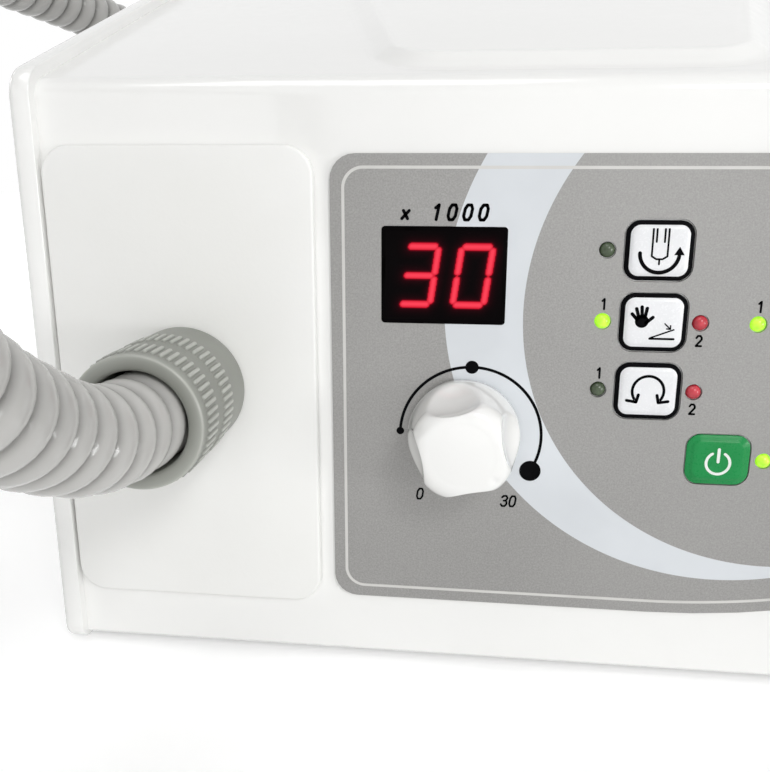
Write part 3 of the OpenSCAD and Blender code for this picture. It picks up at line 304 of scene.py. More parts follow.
def roundedBox(low, high, radius, stepDeg=6):  # outline of a node's front, about its own centre
    w, h = (high[0] - low[0]) / 2, (high[2] - low[2]) / 2
    return roundedOutline([(-w, -h), (w, -h), (w, h), (-w, h)], [radius] * 4, stepDeg)


def sweptRim(outline, normals, profile):  # (inset, height) carried round an outline, closed below and above
    inset, height = np.asarray(profile, dtype=float).T
    flat = outline[None] - normals[None] * inset[:, None, None]
    points = np.concatenate([flat, np.broadcast_to(height[:, None, None], (*flat.shape[:2], 1))], axis=2)
    rows, columns = flat.shape[:2]
    faces = gridFaces(rows, columns)
    faces.append(list(range(columns))[::-1])
    faces.append(list(range((rows - 1) * columns, rows * columns)))
    return points.reshape(-1, 3), faces


def unit(rows):  # each row at length 1
    return rows / np.linalg.norm(rows, axis=1)[:, None]


def fullTurn(count):  # equal angles once round
    return np.linspace(0, 2 * np.pi, count, endpoint=False)


def toFront(points, centre=(0, 0, 0)):  # local right, up and out of the front face to the frame, about a centre
    return np.stack([points[:, 0] + centre[0], frontY - points[:, 2], points[:, 1] + centre[2]], axis=-1)


def frontArc(centre, radius, fromDeg, toDeg, count=48):  # points on a circle, in the plane of the front
    angle = np.radians(np.linspace(fromDeg, toDeg, count))
    return np.stack([centre[0] + radius * np.cos(angle), centre[1] + radius * np.sin(angle)], axis=-1)


class Print:  # ink shapes on the front, gathered into one closed mesh
    sunk = 0.02  # how far the ink reaches below its level, in mm

    def __init__(self, level, thick):
        self.level, self.thick = level, thick
        self.points, self.faces, self.count = [], [], 0

    def band(self, left, right, closed=False):  # thin slab between two edges of equal count
        low, high = self.level - self.sunk, self.level + self.thick
        if closed:
            left, right = np.vstack([left, left[:1]]), np.vstack([right, right[:1]])
        n = len(left)
        section = np.stack([np.column_stack([edge, np.full(n, height)])
                            for edge, height in ((left, low), (right, low), (right, high), (left, high))], axis=1)
        start = self.count
        self.faces += gridFaces(n, 4, True, start)
        if not closed:
            self.faces += [[start + 3, start + 2, start + 1, start], [start + 4 * n - 4 + k for k in range(4)]]
        self.points.append(section.reshape(-1, 3))
        self.count += 4 * n
        return self

    def line(self, path, width):  # stroke with round ends
        path = np.asarray(path, dtype=float)
        way = unit(np.gradient(path, axis=0))
        cap = np.radians([85, 60, 30])
        head = path[0] - way[0] * (np.sin(cap) * width / 2)[:, None]
        tail = path[-1] + way[-1] * (np.sin(cap[::-1]) * width / 2)[:, None]
        middle = np.vstack([head, path, tail])
        half = np.concatenate([np.cos(cap), np.ones(len(path)), np.cos(cap[::-1])]) * width / 2
        side = np.vstack([np.repeat(way[:1], 3, 0), way, np.repeat(way[-1:], 3, 0)])
        side = np.stack([-side[:, 1], side[:, 0]], axis=-1) * half[:, None]
        return self.band(middle + side, middle - side)

    def loop(self, path, width):  # closed stroke
        way = unit(np.roll(path, -1, axis=0) - np.roll(path, 1, axis=0))
        side = np.stack([-way[:, 1], way[:, 0]], axis=-1) * width / 2
        return self.band(path + side, path - side, True)

    def stroke(self, corners, width):  # straight strokes from corner to corner
        for a, b in zip(corners[:-1], corners[1:]):
            self.line([a, b], width)
        return self

    def dot(self, centre, radius):  # filled circle, as a band between its lower and upper half
        angle = np.radians(np.linspace(1, 179, 25))
        x = centre[0] + radius * np.cos(angle)
        y = radius * np.sin(angle)
        return self.band(np.stack([x, centre[1] - y], -1), np.stack([x, centre[1] + y], -1))

    def wedge(self, a, b, c):  # filled triangle
        a, b, c = (np.asarray(v, dtype=float) for v in (a, b, c))
        t = np.linspace(0, 0.98, 6)[:, None]
        return self.band(a + (c - a) * t, b + (c - b) * t)

    def put(self, name, material, body="casing", slot="panel_silver", centre=(0, 0, 0)):
        return putMesh(name, toFront(np.vstack(self.points), centre), self.faces, material, body)


# Camera at the photograph's place, fitted to the front face: place in mm
cameraSpec = {"place": (-19.25, -263.6, 108.1), "right": (0.9935, 0.1137, 0.0015), "ahead": (-0.1095, 0.9605, -0.2559),
              "focalPx": 827, "heightPx": 772, "sensor": 36.0}


def makeCamera(spec):
    ahead = Vector(spec["ahead"]).normalized()
    right = Vector(spec["right"])
    right = (right - ahead * right.dot(ahead)).normalized()
    up = right.cross(ahead)
    data = bpy.data.cameras.new("photoCamera")
    data.sensor_width = spec["sensor"]
    data.lens = spec["focalPx"] * spec["sensor"] / spec["heightPx"]
    data.clip_start = 0.01
    camera = bpy.data.objects.new("photoCamera", data)
    turned = Matrix((right, up, -ahead)).transposed().to_4x4()
    camera.matrix_world = Matrix.Translation(Vector(spec["place"]) * mm) @ turned
    scene.collection.objects.link(camera)
    scene.camera = camera


makeCamera(cameraSpec)

# Soft studio light: boxes that show as reflections, and broad fills that don't
lightSpec = {  # place and height of the aim in m, size in m, power in W, shows in a mirror
    "keyBox": ((0.45, -0.95, 0.75), 0.07, (0.3, 0.3), 4.0, True),
    "rightBox": ((0.85, -0.5, 0.06), 0.06, (0.3, 0.3), 3.0, True),
    "leftBox": ((-0.9, 0.2, 0.6), 0.07, (0.35, 0.35), 1.0, True),
    "topBox": ((-0.2, -0.45, 1.2), 0.1, (0.6, 0.5), 2.0, True),
    "backBox": ((-0.2, 0.4, 1.15), 0.1, (0.5, 0.5), 1.2, False),
    "frontFill": ((0.1, -1.2, 0.2), 0.06, (1.4, 0.6), 4.8, False),
    "backFill": ((0.0, 1.3, 0.35), 0.08, (1.4, 0.6), 4.0, False),
}
roomLevel = 0.22


def softBox(name, place, aimUp, size, power, mirrored):
    data = bpy.data.lights.new(name, "AREA")
    data.shape = "RECTANGLE"
    data.size, data.size_y = size
    data.energy = power
    lamp = bpy.data.objects.new(name, data)
    lamp.location = place
    lamp.visible_glossy = mirrored
    lamp.rotation_euler = (Vector((0.0, 0.0, aimUp)) - Vector(place)).to_track_quat("-Z", "Y").to_euler()
    scene.collection.objects.link(lamp)


def seenRay(tree):  # 1 for what the eye, a mirror or glass sees, 0 for light that bounces
    path = addNode(tree, "LightPath").outputs
    first = addNode(tree, "Math", {"operation": "MAXIMUM"}, {0: path["Is Camera Ray"], 1: path["Is Glossy Ray"]})
    return addNode(tree, "Math", {"operation": "MAXIMUM"}, {0: first, 1: path["Is Transmission Ray"]})


def makeRoom(level):  # white where it is seen, and a plain grey level as light
    world = bpy.data.worlds.new("paleRoom")
    world.use_nodes = True
    tree = world.node_tree
    tree.nodes.clear()
    strength = addNode(tree, "MapRange", {"To Min": level, "To Max": 1.0}, {"Value": seenRay(tree)})
    back = addNode(tree, "Background", {"Color": (1, 1, 1, 1)}, {"Strength": strength})
    addNode(tree, "OutputWorld", links={"Surface": back})
    scene.world = world


floorSpec = {"size": 6.0, "tone": 0.86, "away": (0.2, 0.7), "lift": (0.4, 0.85)}  # metres; more lift further away


def makeFloor(spec):  # white paper, lifted to white where it is seen, less near the object's shadow
    mesh = bpy.data.meshes.new("floor")
    s = spec["size"] / 2
    mesh.from_pydata([(-s, -s, 0), (s, -s, 0), (s, s, 0), (-s, s, 0)], [], [(0, 1, 2, 3)])
    material, tree, place = startMaterial("whitePaper")
    paper = addNode(tree, "BsdfDiffuse", {"Color": (*[spec["tone"]] * 3, 1)})
    away = addNode(tree, "VectorMath", {"operation": "LENGTH"}, {0: place}).outputs["Value"]
    (near, far), (low, high) = spec["away"], spec["lift"]
    lift = addNode(tree, "MapRange", {"From Min": near, "From Max": far, "To Min": low, "To Max": high},
                   {"Value": away})
    strength = addNode(tree, "Math", {"operation": "MULTIPLY"}, {0: seenRay(tree), 1: lift})
    glow = addNode(tree, "Emission", {"Color": (1, 1, 1, 1)}, {"Strength": strength})
    both = addNode(tree, "AddShader", links={0: paper, 1: glow})
    addNode(tree, "OutputMaterial", links={"Surface": both})
    mesh.materials.append(material)
    floor = bpy.data.objects.new("floor", mesh)
    scene.collection.objects.link(floor)


for name, row in lightSpec.items():
    softBox(name, *row)
makeRoom(roomLevel)
makeFloor(floorSpec)
scene.view_settings.view_transform = "Standard"
print("camera, light and floor set")

# Ribbed hose: the route of the CAD solid, in mm
hoseSpec = {
    "route": [
        (-79.85, -108.3, 63.5), (-79.85, -128, 63.5), (-80, -144.5, 66), (-80.5, -160.5, 73), (-78.5, -182, 85.5),
        (-77, -209.5, 112), (-83.5, -227.5, 141.5), (-97, -232.5, 168.5), (-117.5, -226.5, 190), (-144, -208.5, 206.5),
        (-167.5, -187, 214), (-186, -159.5, 213.5), (-198, -129.5, 207), (-205.5, -99, 198), (-208, -67, 189),
        (-206.5, -35, 182), (-202, -2.5, 177), (-194.5, 29.5, 173.5), (-185, 61, 170), (-174, 91.5, 165),
        (-161.5, 121, 157.5), (-148, 149.5, 146), (-134, 175, 131), (-119, 197, 111.5), (-102.5, 215, 89.5),
        (-84, 230, 66.5), (-62.5, 243, 45), (-37, 253.5, 27), (-7, 261, 15), (25, 265.5, 10), (58, 266, 9.5),
        (90, 259.5, 9.5), (117.5, 241, 9.5), (134.5, 213, 9.5), (137.5, 181.5, 9.5), (126.5, 151, 10),
        (103.5, 128.5, 11.5), (73, 117, 12.5), (40, 115, 13), (24, 115, 13)],
    "diameter": 18.0, "bore": 13.6, "ribPitch": 6.9, "ribDepth": 2.0, "sides": 36,
    "step": 0.46, "boreStep": 12, "pathStep": 4,  # spacing of the rings outside, in the bore and of the path sampled along the hose
}


def smoothLine(route, perSpan=40):  # curve through the points, each span a cubic with the slope of its neighbours
    p = np.asarray(route, dtype=float)
    p = np.vstack([2 * p[0] - p[1], p, 2 * p[-1] - p[-2]])
    t = np.linspace(0, 1, perSpan, endpoint=False)[None, :, None]
    a, b, c, d = (p[i:len(p) - 3 + i, None] for i in range(4))
    spans = 0.5 * (2 * b + (c - a) * t + (2 * a - 5 * b + 4 * c - d) * t ** 2 + (3 * b - a - 3 * c + d) * t ** 3)
    return np.vstack([spans.reshape(-1, 3), p[-2]])


def alongLine(line, marks, reach=1.5):  # points and unit directions at distances along a line, from a reach each way
    length = np.concatenate([[0], np.cumsum(np.linalg.norm(np.diff(line, axis=0), axis=1))])

    def at(s):
        return np.stack([np.interp(s, length, line[:, k]) for k in range(3)], axis=-1)

    way = at(np.minimum(marks + reach, length[-1])) - at(np.maximum(marks - reach, 0))
    return at(marks), unit(way)


def tubeRings(line, marks, radius):  # rings round a line; radius is one row per mark, one column per side
    centre, way = alongLine(line, marks)
    right = unit(np.cross(way, (0, 0, 1.0)))
    up = np.cross(right, way)
    angle = fullTurn(radius.shape[1])
    ring = np.cos(angle)[None, :, None] * up[:, None] + np.sin(angle)[None, :, None] * right[:, None]
    return (centre[:, None] + ring * radius[..., None]).reshape(-1, 3)


def makeHose(spec):  # a tube whose radius rises and falls along one helix, with a plain bore
    line = smoothLine(spec["route"])
    length = float(np.linalg.norm(np.diff(line, axis=0), axis=1).sum())
    sides = spec["sides"]
    marks = np.linspace(0, length, int(length / spec["step"]))
    angle = fullTurn(sides)
    turn = marks[:, None] / spec["ribPitch"] + angle[None] / (2 * np.pi)
    crest = np.sqrt(4 * (turn % 1) * (1 - turn % 1))  # each rib a half ellipse
    outer = tubeRings(line, marks, spec["diameter"] / 2 - spec["ribDepth"] * (1 - crest))
    boreMarks = np.linspace(0, length, int(length / spec["boreStep"]))
    inner = tubeRings(line, boreMarks, np.full((len(boreMarks), sides), spec["bore"] / 2))
    outerFaces = gridFaces(len(marks), sides)
    innerFaces = [f[::-1] for f in gridFaces(len(boreMarks), sides, True, len(outer))]
    first, last = np.arange(sides), np.arange(sides) + (len(marks) - 1) * sides
    boreFirst, boreLast = first + len(outer), first + len(outer) + (len(boreMarks) - 1) * sides
    ends = np.concatenate([np.stack([np.roll(first, -1), first, boreFirst, np.roll(boreFirst, -1)], -1),
                           np.stack([last, np.roll(last, -1), np.roll(boreLast, -1), boreLast], -1)]).tolist()
    hose = putMesh("ribbedHose", np.vstack([outer, inner]), outerFaces + innerFaces + ends, "ribbedGreyPvc", "casing",
                   75, replaced="hose_run")
    # relief drives painted shade in the grooves and a painted highlight on the rib crests
    addField(hose, "relief", np.concatenate([crest.ravel(), np.zeros(len(inner))]))
    path, _ = alongLine(line, np.linspace(0, length, int(length / spec["pathStep"])))
    print("hose made,", round(length), "mm long")


makeHose(hoseSpec)

# Casing: shell, raised pad and cheeks
casingSpec = {"slopeDeg": 20.1, "slopeRun": 118.0, "wall": 3.0, "creaseRadius": 4.5, "kneeRadius": 40.0,
              "rims": (1.2, 0.4, 0.3, 1.6),
              "cheekTop": 2.4, "cheekRoll": 1.5, "cheekCorners": [4, 4, 12], "cheekSeam": 0.25}
slope = math.radians(casingSpec["slopeDeg"])
topZ = shellHigh[2]
creaseZ = topZ - casingSpec["slopeRun"] * math.tan(slope)


def kneeAt(up):  # depth at which a slope line moved up meets the flat top moved up
    return (topZ + up - creaseZ - up / math.cos(slope)) / math.tan(slope)


def creaseAt(front, up):  # height at which the moved slope line meets a front line
    return creaseZ + front * math.tan(slope) + up / math.cos(slope)


def makeShell(spec):  # one wall section, front, slope and top, carried across the width
    wall, knee, crease = spec["wall"], spec["kneeRadius"], spec["creaseRadius"]
    back, low = shellHigh[1] - frontY, shellLow[2]
    footOut, footIn, backIn, backOut = spec["rims"]  # radii of the free edges
    section, _ = roundedOutline(
        [(0, low), (wall, low), (wall, creaseAt(wall, -wall)), (kneeAt(-wall), topZ - wall), (back, topZ - wall),
         (back, topZ), (kneeAt(0), topZ), (0, creaseZ)],
        [footOut, footIn, crease - wall, knee - wall, backIn, backOut, knee, crease], 3)
    n = len(section)
    points = np.stack([np.column_stack([np.full(n, x), section[:, 0] + frontY, section[:, 1]])
                       for x in (shellLow[0], shellHigh[0])])
    faces = gridFaces(2, n) + [list(range(n))[::-1], list(range(n, 2 * n))]
    putMesh("casingShell", points.reshape(-1, 3), faces, "polishedWhiteAbs", "casing",
            replaced="main_shell")


padSpec = {"nearWidth": 74.0, "farWidth": 118.0, "length": 98.0, "start": 7.0, "middle": -3.0, "radius": 14.0,
           "ramp": [(-1.5, -0.5), (-1.5, 0.0), (-0.9, 0.03), (-0.3, 0.13), (0.3, 0.3), (0.9, 0.55), (1.5, 0.84),
                    (3.45, 1.86), (3.75, 2.0), (4.05, 2.11), (4.4, 2.17), (4.9, 2.2)]}


def makePad(spec):  # raised pad on the slope, wider at the back, with a ramp all round
    near, far, length = spec["nearWidth"] / 2, spec["farWidth"] / 2, spec["length"]
    corners = [(-near, 0), (near, 0), (far, length), (-far, length)]
    outline, normals = roundedOutline(corners, [spec["radius"]] * 4, 4)
    local, faces = sweptRim(outline, normals, spec["ramp"])
    along = spec["start"] + local[:, 1]
    points = np.stack([spec["middle"] + local[:, 0],
                       frontY + along * math.cos(slope) - local[:, 2] * math.sin(slope),
                       creaseZ + along * math.sin(slope) + local[:, 2] * math.cos(slope)], axis=-1)
    putMesh("raisedPad", points, faces, "polishedWhiteAbs", "casing", 60)


def makeCheek(name, node, side, spec):  # cheek outline with a rolled outer edge, carried outwards
    low, high, _ = nodeBox(node)
    up, front, back = spec["cheekTop"], low[1] - frontY, high[1] - frontY
    outline, normals = roundedOutline(
        [(front, low[2]), (back, low[2]), (back, high[2]), (kneeAt(up), high[2]), (front, creaseAt(front, up))],
        spec["cheekCorners"] + [spec["kneeRadius"] + up, spec["creaseRadius"] + up], 3)
    thick, roll, seam = high[0] - low[0], spec["cheekRoll"], spec["cheekSeam"]
    turn = np.radians(np.linspace(0, 90, 9))
    edge = np.column_stack([roll * (1 - np.cos(turn)), thick - roll + roll * np.sin(turn)])
    inner = np.column_stack([seam * (1 - np.sin(turn[::3])), seam * (1 - np.cos(turn[::3]))])
    local, faces = sweptRim(outline, normals, np.vstack([inner, edge]))
    inside = high[0] if side < 0 else low[0]
    points = np.stack([inside + side * local[:, 2], frontY + local[:, 0], local[:, 1]], axis=-1)
    if side < 0:
        faces = [f[::-1] for f in faces]
    putMesh(name, points, faces, "polishedWhiteAbs", "casing", 60, replaced=node)


makeShell(casingSpec)
makePad(padSpec)
makeCheek("leftCheek", "left_cheek", -1, casingSpec)
makeCheek("rightCheek", "right_cheek", 1, casingSpec)
print("casing made")

# Hose plate: a proud plate with a small round edge and a shadow slot behind it
plateSpec = {"radius": 6.0, "edge": 0.6, "slotDeep": 0.5, "slotHigh": 0.35}


def makePlate(spec):  # the slot and a quarter round, carried round the plate's outline
    low, high, centre = nodeBox("hose_plate")
    thick, r = high[1] - low[1], spec["edge"]
    outline, normals = roundedBox(low, high, spec["radius"], 3)
    turn = np.radians(np.linspace(0, 90, 8))
    rim = np.column_stack([r * (1 - np.cos(turn)), thick - r + r * np.sin(turn)])
    deep, up = spec["slotDeep"], spec["slotHigh"]
    local, faces = sweptRim(outline, normals, np.vstack([[(deep, 0), (deep, up), (0, up)], rim]))
    putMesh("hosePlate", toFront(local, centre), faces, "grainedWhiteAbs", "casing", 60,
            replaced="hose_plate")


makePlate(plateSpec)

# Hose collar: a plain ring with two rows of pill-shaped grip ribs and a broad flat mouth
collarSpec = {"ribs": 52, "ribHalf": 0.5, "ribRise": 0.4, "ribSoft": 0.28, "rows": ((11.6, 17.2), (21.0, 26.6)),
              "rowOver": 0.1, "rowEnd": 1.0, "shaft": 10.55, "grip": 9.7, "seat": 9.3, "perRib": 12,
              "foot": (0.5, 0.15), "lip": 0.45, "mouth": (0.7, 0.2), "paintedGlintSpread": 0.5}


def makeCollar(spec):  # a profile turned round the hose, its wall lifted where a rib lies
    low, high, centre = nodeBox("hose_collar")
    r = (high[0] - low[0]) / 2 - spec["ribRise"]
    base, mouth = frontY - high[1], frontY - low[1]
    turn = np.radians(np.linspace(0, 90, 5))
    over, end = spec["rowOver"], spec["rowEnd"]
    steps = np.concatenate([np.concatenate([np.linspace(a - over, a + end, 12), [(a + b) / 2],
                                            np.linspace(b - end, b + over, 12)]) for a, b in spec["rows"]])
    wall = np.column_stack([np.full(len(steps), r), steps])
    big, small = spec["foot"]
    foot = np.array([(spec["shaft"], base), (r - big, base), (r - small, base + small), (r, base + big)])
    soft = spec["lip"]
    lip = np.column_stack([r - soft + soft * np.cos(turn), mouth - soft + soft * np.sin(turn)])
    grip, seat = spec["grip"], spec["seat"]
    big, small = spec["mouth"]
    inside = np.array([(grip + big, mouth), (grip + small, mouth - small), (grip, mouth - big), (grip, seat + 2),
                       (grip, seat), (spec["shaft"], seat)])
    profile = np.vstack([foot, wall, lip, inside])
    count = spec["ribs"] * spec["perRib"]
    angle = fullTurn(count)
    across = (angle * spec["ribs"] / (2 * np.pi) + 0.5) % 1 - 0.5  # place within one pitch
    across = across * 2 * np.pi * r / spec["ribs"]
    rise = np.zeros((len(profile), count))
    for a, b in spec["rows"]:  # a rib is a pill, lifted by how far a point lies inside it
        past = profile[:, 1] - np.clip(profile[:, 1], a + spec["ribHalf"], b - spec["ribHalf"])
        inset = spec["ribHalf"] - np.hypot(across[None], past[:, None])
        t = np.clip(inset / spec["ribSoft"], 0, 1)
        rise = np.maximum(rise, spec["ribRise"] * t * (2 - t))
    rise *= (np.abs(profile[:, 0] - r) < 0.01)[:, None]  # on the wall alone
    radius = profile[:, :1] + rise
    points = np.stack([radius * np.cos(angle), radius * np.sin(angle), np.repeat(profile[:, 1:], count, 1)], axis=-1)
    last, first = (len(profile) - 1) * count + np.arange(count), np.arange(count)
    close = np.stack([last, np.roll(last, -1), np.roll(first, -1), first], -1).tolist()
    collar = putMesh("hoseCollar", toFront(points.reshape(-1, 3), centre), gridFaces(len(profile), count) + close,
                     "knurledGreyNylon", "collar", 50, replaced="hose_collar")
    # painted highlight on the rib tops and on the outer edge of the mouth, passed to the finish through relief
    wearAndPaintedGlint = np.exp(-((profile[:, 0] - r) ** 2 + (profile[:, 1] - mouth) ** 2) / spec["paintedGlintSpread"])[:, None]
    addField(collar, "relief", np.maximum(rise / spec["ribRise"], wearAndPaintedGlint).ravel())


makeCollar(collarSpec)
print("hose plate and collar made")

# Knobs: a domed crown with four finger scoops and a pointer dimple
knobSpec = {"sides": 176, "rows": 26, "lidRows": 14, "foot": (0.5, 0.15), "wallFrom": 2.2, "taper": 1.1, "crown": 4.2,
            "dome": 0.35, "scoopAngles": (12, 102, 192, 282), "scoopRadius": 14.0, "scoopOut": 10.3, "scoopDown": 2.3,
            "scoopFrom": 1.2, "scoopFade": 2.0, "soften": 0.35,
            "dimpleDeg": -38.0, "dimpleReach": 3.4, "dimpleSpread": 0.55, "dimpleDeep": 0.45}


def makeKnob(name, node, body, spec):  # a profile turned round the shaft, pushed in by balls and by the dimple
    low, high, centre = nodeBox(node)
    r, base, top = (high[0] - low[0]) / 2, frontY - high[1], frontY - low[1]
    crown, dome, (big, small) = spec["crown"], spec["dome"], spec["foot"]
    turn = np.radians(np.linspace(0, 90, spec["rows"]))
    side = np.linspace(0, 1, spec["rows"])[:, None]
    foot = np.array([(r - big, base), (r - small, base + small), (r, base + big)])
    wall = np.array([(r, base + spec["wallFrom"])]) * (1 - side) + np.array([(r - spec["taper"], top - crown)]) * side
    flat = r - spec["taper"] - crown
    bend = np.column_stack([flat + crown * np.cos(turn), top - crown + crown * np.sin(turn)])
    bend[:, 1] -= dome * np.sin(turn) ** 6
    inner = np.linspace(1, 0.02, spec["lidRows"])[1:]
    lid = np.column_stack([flat * inner, top - dome + dome * (1 - inner ** 2)])
    profile = np.vstack([foot, wall, bend[1:], lid])
    count, rows = spec["sides"], len(profile)
    angle = fullTurn(count)
    ray = np.stack([np.cos(angle), np.sin(angle), np.zeros(count)], axis=-1)
    points = profile[:, None, :1] * ray[None] + np.array([0, 0, 1.0]) * profile[:, None, 1:]
    ball = spec["scoopRadius"] ** 2
    for deg in spec["scoopAngles"]:  # each scoop is a ball that pushes the surface in
        a = math.radians(deg)
        out = np.array([math.cos(a), math.sin(a), 0])
        away = points - (out * (r + spec["scoopOut"]) + np.array([0, 0, top - spec["scoopDown"]]))
        reach = away @ out
        aside = (away ** 2).sum(-1) - reach ** 2
        depth = reach + np.sqrt(np.maximum(ball - aside, 0))
        push = 0.5 * (depth + np.sqrt(depth ** 2 + spec["soften"] ** 2)) * (depth > -3) * (aside < ball)
        lowEdge = np.clip((points[..., 2] - base - spec["scoopFrom"]) / spec["scoopFade"], 0, 1)
        points = points - out * (push * lowEdge)[..., None]
    a = math.radians(spec["dimpleDeg"])
    mark = np.array([math.cos(a), math.sin(a)]) * (r - spec["dimpleReach"])
    near = np.exp(-((points[..., :2] - mark) ** 2).sum(-1) / (2 * spec["dimpleSpread"] ** 2))
    points[..., 2] -= spec["dimpleDeep"] * near * (points[..., 2] > top - 3)
    faces = gridFaces(rows, count) + [list(range(count))[::-1], list(range((rows - 1) * count, rows * count))]
    putMesh(name, toFront(points.reshape(-1, 3), centre), faces, "polishedWhiteAbs", body, 50,
            replaced=node)


makeKnob("speedKnob", "speed_knob", "speed_control", knobSpec)
makeKnob("suctionKnob", "suction_knob", "suction_control", knobSpec)
print("knobs made")

# Panel print: pale crescent, pinstripe, dials and plain figures
panelLow, panelHigh, _ = nodeBox("control_panel")
panelFace = frontY - panelLow[1]  # height of the film above the front face
crescentSpec = {"outer": ((31.35, 82.1), 57.4), "inner": ((41.35, 80.1), 51.8), "ink": 0.02}


def makeCrescent(spec):  # the part of one circle outside another, cut off by the panel's top edge
    (c1, r1), (c2, r2) = spec["outer"], spec["inner"]
    gap = np.array(c2) - np.array(c1)
    d = np.linalg.norm(gap)
    tipTurn = math.degrees(math.acos((d * d + r1 * r1 - r2 * r2) / (2 * d * r1)))
    tipDeg = math.degrees(math.atan2(gap[1], gap[0])) - tipTurn
    tip = np.array(c1) + r1 * np.array([math.cos(math.radians(tipDeg)), math.sin(math.radians(tipDeg))])
    tipInner = math.degrees(math.atan2(tip[1] - c2[1], tip[0] - c2[0]))
    topOuter, topInner = (180 - math.degrees(math.asin((panelHigh[2] - c[1]) / r)) for c, r in ((c1, r1), (c2, r2)))
    outer = frontArc(c1, r1, topOuter, tipDeg + 360, 120)
    inner = frontArc(c2, r2, topInner, tipInner + 360, 120)
    Print(panelFace, spec["ink"]).band(outer, inner).put("paleCrescent", "paleInk")


stripeSpec = {"inset": 2.6, "width": 0.6, "radius": 4.0, "endRadius": 1.5, "sweepFrom": 67.0, "sweepRadius": 170.0,
              "sweepSteps": 40, "ink": 0.03}


def makePinstripe(spec):  # a closed stroke inside the panel's edge, whose lower side sweeps up to the right
    inset, r, count = spec["inset"], spec["sweepRadius"], spec["sweepSteps"]
    x0, x1 = panelLow[0] + inset, panelHigh[0] - inset
    z0, z1 = panelLow[2], panelHigh[2] - inset
    sweepX = panelLow[0] + spec["sweepFrom"]
    turn = np.linspace(0, math.asin((x1 - sweepX) / (r - inset)), count)
    sweep = np.column_stack([sweepX + (r - inset) * np.sin(turn), z0 + r - (r - inset) * np.cos(turn)])
    radii = [spec["radius"]] + [0] * (count - 1) + [spec["endRadius"]] + [spec["radius"]] * 2
    outline, _ = roundedOutline(np.vstack([[(x0, z0 + inset)], sweep, [(x1, z1), (x0, z1)]]), radii)
    Print(panelFace, spec["ink"]).loop(outline, spec["width"]).put("pinstripe", "stripeInk")


figureStrokes = {  # plain figures on a 2 by 4 grid
    "0": [[(0, 1), (0, 3), (0.5, 4), (1.5, 4), (2, 3), (2, 1), (1.5, 0), (0.5, 0), (0, 1)]],
    "1": [[(0.4, 3.2), (1.2, 4), (1.2, 0)]],
    "2": [[(0, 3.2), (0.5, 4), (1.5, 4), (2, 3.2), (2, 2.6), (0, 0), (2, 0)]],
    "3": [[(0, 3.4), (0.5, 4), (1.5, 4), (2, 3.2), (1.6, 2.2), (0.8, 2.1)],
          [(1.6, 2.2), (2, 1.3), (2, 0.8), (1.5, 0), (0.5, 0), (0, 0.7)]],
    "x": [[(0.2, 0.2), (1.8, 2.4)], [(0.2, 2.4), (1.8, 0.2)]],
}


def writeFigures(ink, text, centre, height, weight=0.17, lean=0.15, pitch=3):  # strokes of each figure, side by side
    size = height / 4
    width = (len(text) - 1) * pitch + 2
    for i, mark in enumerate(text):
        for corners in figureStrokes.get(mark, []):
            c = (np.asarray(corners, dtype=float) + (pitch * i - width / 2, -2)) * size
            c[:, 0] += lean * c[:, 1]
            ink.stroke(c + centre, height * weight)


dialSpec = {"offset": (1.3, -0.65), "radius": 14.5, "line": 0.6, "lineDeg": (178, -25), "lineInk": 0.05,
            "dots": ((178, 0.8), (90, 1.35), (-30, 2.2)), "dotInk": 0.07,
            "figures": (("0", (-10.2, -13.4)), ("30", (8.4, -14.2))), "figureHeight": 2.3}


def makeDial(name, knobNode, spec):  # arc from a small dot over the top to a large one
    centre = nodeBox(knobNode)[2][[0, 2]] + spec["offset"]
    ink = Print(panelFace, spec["lineInk"])
    ink.line(frontArc(centre, spec["radius"], *spec["lineDeg"], 90), spec["line"])
    ink.thick = spec["dotInk"]
    for deg, r in spec["dots"]:
        ink.dot(frontArc(centre, spec["radius"], deg, deg, 1)[0], r)
    for text, place in spec["figures"]:
        writeFigures(ink, text, centre + place, spec["figureHeight"])
    ink.put(name, "blackInk")


makeCrescent(crescentSpec)
makePinstripe(stripeSpec)
makeDial("speedDial", "speed_knob", dialSpec)
makeDial("suctionDial", "suction_knob", dialSpec)


# Keys: a black rim round a raised pillow, with a plain pictogram on each

def toolSign(ink):  # slim handpiece over a turning arrow
    ink.stroke([(-1.45, 4.1), (-1.45, -1.0), (-0.6, -1.55), (0.6, -1.55), (1.45, -1.0), (1.45, 4.1)], 0.36)
    ink.stroke([(-0.75, 4.1), (-0.75, 1.7)], 0.36).stroke([(0.75, 4.1), (0.75, 1.7)], 0.36)
    ink.stroke([(0, -1.55), (0, -2.5)], 0.36)
    ink.line(frontArc((0, -0.45), 3.65, 180, 352, 40), 0.72)
    ink.wedge((2.65, -0.75), (4.6, -0.75), (3.62, 0.85))


def sourceSign(ink):  # open hand beside a foot pedal
    ink.dot((-2.3, 0.3), 1.3)
    for root, tip in (((-3.2, 0.6), (-4.2, 1.7)), ((-2.9, 1.0), (-3.45, 2.75)), ((-2.3, 1.2), (-2.45, 3.1)),
                      ((-1.75, 1.1), (-1.45, 2.85)), ((-1.5, 0.0), (-0.25, 1.1))):
        ink.line([root, tip], 0.66)
    ink.stroke([(-0.6, -3.1), (3.95, -3.1)], 0.42)
    ink.stroke([(-0.5, -2.95), (3.85, -1.25)], 0.3)
    ink.stroke([(2.1, -0.1), (3.15, -1.1)], 0.26).stroke([(3.2, -0.45), (3.2, -1.15), (2.5, -1.1)], 0.26)


def directionSign(ink):  # open ring with an arrow at each end
    ink.line(frontArc((0, 0.15), 3.05, 213, -33, 50), 0.55)
    for side in (-1, 1):
        ink.stroke([(side * 4.0, -1.85), (side * 2.15, -2.15), (side * 1.8, -0.65)], 0.6)


